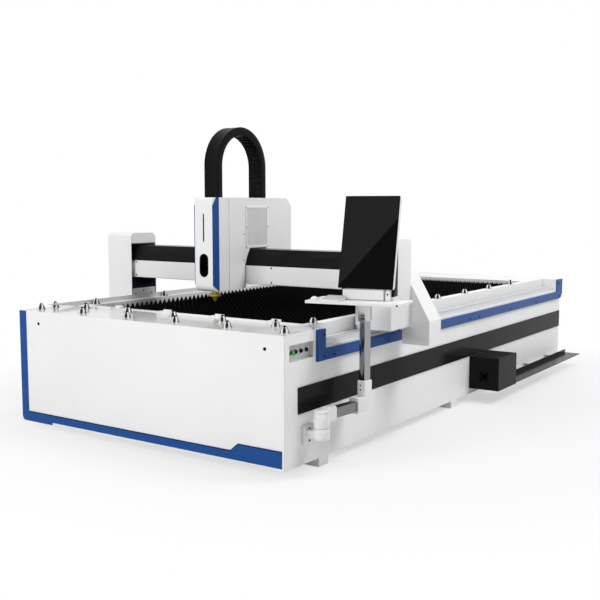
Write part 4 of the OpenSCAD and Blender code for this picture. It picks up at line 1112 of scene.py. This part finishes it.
class CUTTER_OT_fasteners(bpy.types.Operator):
    """Socket-head bolts and small screws all over the machine"""

    bl_idname = "cutter.fasteners"
    bl_label = "Fasteners"

    def heads(self, name, radius, height, body, spots, place=MACHINE):
        """Screw heads at spots, each a point in millimetres and the way the head faces."""
        rounding, rim, socket = height * 0.3, radius * 0.3, height * 0.5
        head = start_bar(name, (0, 0, height / 2), radius, height, "Z", 12)
        with editing(head):
            pick("EDGE", lambda e: lies(e, z=height))
            bevel(rounding, 1)
            pick_cap()
            sink(rim, 0)
            sink(SLIVER, socket)
        places = [
            at(*spot) @ Vector(way).to_track_quat("Z", "Y").to_matrix().to_4x4() for spot, way in spots]
        done(repeat(head, places), body, "black_plastic", place=place)

    def execute(self, context):
        sizes = context.scene.cutter_sizes
        bolt, screw = sizes.bolt_radius / MM, sizes.screw_radius / MM
        ahead, right = (0, -1, 0), (1, 0, 0)
        band_x, trim_x, trim_low = 1005, 1012, 591
        bands, trims = [], []
        for side in (-1, 1):
            way = (side, 0, 0)
            for y in (192, 820, 1505, 2165, 2271, 2329, 2910, 3550, 4160):
                bands += [((band_x * side, y, z), way) for z in (451, 332)]
            spots = [(354, 706), (354, 592)]
            spots += [(y, trim_low) for y in (451, 1053, 1652, 2248, 2412, 3006, 3589)]
            spots += [(4177, 593), (4177, 701)]
            trims += [((trim_x * side, y, z), way) for y, z in spots]
        self.heads("band_screws", screw, 2.2, "bed", bands)
        self.heads("trim_bolts", bolt * 0.9, 3, "bed", trims)
        plate = [((x, 900, z), ahead) for x in (-885, -330, 268, 885) for z in (995, 905)]
        risers = [
            ((901 * s, y, z), (-s, 0, 0))
            for s in (-1, 1) for y, z in ((905, 770), (981, 790), (1060, 770))]
        self.heads("gantry_bolts", bolt * 0.8, 3, "gantry", plate + risers)
        vents = [
            ((71.9 * s, y, z), (s, 0, 0)) for s in (-1, 1) for y in (908, 1132) for z in (1122, 1246, 1370)]
        seams = [((69.5 * s, 881, z), (s, 0, 0)) for s in (-1, 1) for z in (1040, 1204)]
        self.heads("carriage_screws", screw * 0.8, 1.6, "carriage", vents + seams)
        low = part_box("mast_head")[0].z / MM
        mast_front = 344
        mast = [((x, mast_front, low + 14 + dz), ahead) for x in (2, 17) for dz in (0, 19)]
        elbow = [((-4, mast_front, z), ahead) for z in (391, 416)]
        self.heads("arm_screws", screw, 2, "console", mast + elbow, ARM)
        hinge = [((148, 27, 920), ahead), ((248, -126.5, 880), ahead)]
        self.heads("tray_screws", bolt * 0.7, 2, "console", hinge, TRAY)
        pad = [((1018, 201, z), right) for z in (174, 237)]
        self.heads("bracket_bolts", bolt * 0.8, 4, "bed", pad)
        box_z = (104, 308)
        cabinet = [((x, 2275, z), ahead) for x in (1012, 1207) for z in box_z]
        cabinet += [((1219, y, z), right) for y in (2290, 2600) for z in box_z]
        self.heads("cable_box_screws", screw, 2, "bed", cabinet)
        return {"FINISHED"}


class CUTTER_OT_stage(bpy.types.Operator):
    """Pale floor, soft lights, white surround and the camera at the photograph's angle"""

    bl_idname = "cutter.stage"
    bl_label = "Stage"

    def lamp(self, name, place, target, size, power):
        """A soft rectangular lamp that looks at a target and that no mirror shows."""
        light = bpy.data.lights.new(name, "AREA")
        light.shape = "RECTANGLE"
        light.size, light.size_y = size
        light.energy = power
        lamp = bpy.data.objects.new(name, light)
        lamp.location = place
        lamp.rotation_euler = (Vector(target) - Vector(place)).to_track_quat("-Z", "Y").to_euler()
        lamp.visible_glossy = False
        bpy.context.scene.collection.objects.link(lamp)

    def surround(self):
        """White where the camera, glossy and see-through rays meet it, and soft grey as light."""
        world = bpy.data.worlds.new("studio")
        bpy.context.scene.world = world
        w = Tree(world)
        back = w.found("BACKGROUND")
        back.inputs["Color"].default_value = WHITE
        back.inputs["Strength"].default_value = 0.33
        shown = w.node("Background", {"Color": WHITE})
        w.show("OUTPUT_WORLD", w.seen(), Wire(w, back.outputs[0]), shown)

    def floor(self):
        """Pale floor that keeps the shadow and fades into the white surround far from the machine."""
        f = Finish("pale_floor", Base_Color=(0.7, 0.7, 0.7, 1), Roughness=0.9, Specular_IOR_Level=0.0)
        far = f.node("VectorMath", {0: f.place()}, "Value", operation="LENGTH")
        glow = f.node("Emission", {"Color": WHITE, "Strength": 1.0})
        fade = far.span(1.6, 3.2, 0.55, 1.0)
        f.show("OUTPUT_MATERIAL", fade * f.seen(), Wire(f, f.shader.outputs[0]), glow)
        clear()
        bpy.ops.mesh.primitive_plane_add(size=60)
        floor = named("studio_floor")
        floor.data.materials.append(f.material)

    def execute(self, context):
        context.scene.view_settings.view_transform = "Standard"
        self.surround()
        self.floor()
        self.lamp("key_softbox", (-1.5, -8.5, 4.5), target=(0, 0.3, 0.6), size=(4, 3.5), power=390)
        self.lamp("top_softbox", (0.5, 0.5, 7.0), target=(0, 0, 0), size=(7, 7), power=60)
        self.lamp("side_fill", (4.5, 1.0, 7.0), target=(0.3, 0.8, 1.0), size=(3, 4), power=440)
        camera = bpy.data.cameras.new("photo_view")
        camera.lens = 53.313
        camera.sensor_width = 36
        camera.clip_end = 100
        dip, turn = 6.039, 34.219
        view = bpy.data.objects.new("photo_view", camera)
        view.location = MACHINE @ Vector((3.5028975, -3.5397, 1.3786))
        view.rotation_euler = (math.radians(90 - dip), 0, math.radians(turn))
        context.scene.collection.objects.link(view)
        context.scene.camera = view
        return {"FINISHED"}


STEPS = (
    CUTTER_OT_finishes, CUTTER_OT_slats, CUTTER_OT_ball_domes, CUTTER_OT_panel_plugs, CUTTER_OT_trim_painted_shadow,
    CUTTER_OT_end_covers, CUTTER_OT_gussets, CUTTER_OT_front_hood, CUTTER_OT_hood_linings, CUTTER_OT_vents,
    CUTTER_OT_cable_chain, CUTTER_OT_swing_arm, CUTTER_OT_wall_bracket, CUTTER_OT_console_tray,
    CUTTER_OT_monitor, CUTTER_OT_keypad_and_mouse, CUTTER_OT_fasteners, CUTTER_OT_stage,
)


class CUTTER_PT_panel(bpy.types.Panel):
    """Lists the machine's colours, sizes and pieces"""

    bl_label = "Laser cutter"
    bl_idname = "CUTTER_PT_panel"
    bl_space_type = "VIEW_3D"
    bl_region_type = "UI"
    bl_category = "Cutter"

    def draw(self, context):
        for group in (context.scene.cutter_colours, context.scene.cutter_sizes):
            for name in group.__annotations__:
                self.layout.prop(group, name)
        for step in STEPS:
            self.layout.operator(step.bl_idname)


CLASSES = (CutterColours, CutterSizes, *STEPS, CUTTER_PT_panel)


def register():
    """Registers the classes and hangs the settings on the scene."""
    for kind in CLASSES:
        bpy.utils.register_class(kind)
    bpy.types.Scene.cutter_colours = PointerProperty(type=CutterColours)
    bpy.types.Scene.cutter_sizes = PointerProperty(type=CutterSizes)


def unregister():
    """Takes the settings and classes away again."""
    del bpy.types.Scene.cutter_colours
    del bpy.types.Scene.cutter_sizes
    for kind in reversed(CLASSES):
        bpy.utils.unregister_class(kind)


def main():
    """Builds every piece in order."""
    register()
    clear()
    for step in STEPS:
        group, name = step.bl_idname.split(".")
        getattr(getattr(bpy.ops, group), name)()
    clear()


if __name__ == "__main__":
    main()
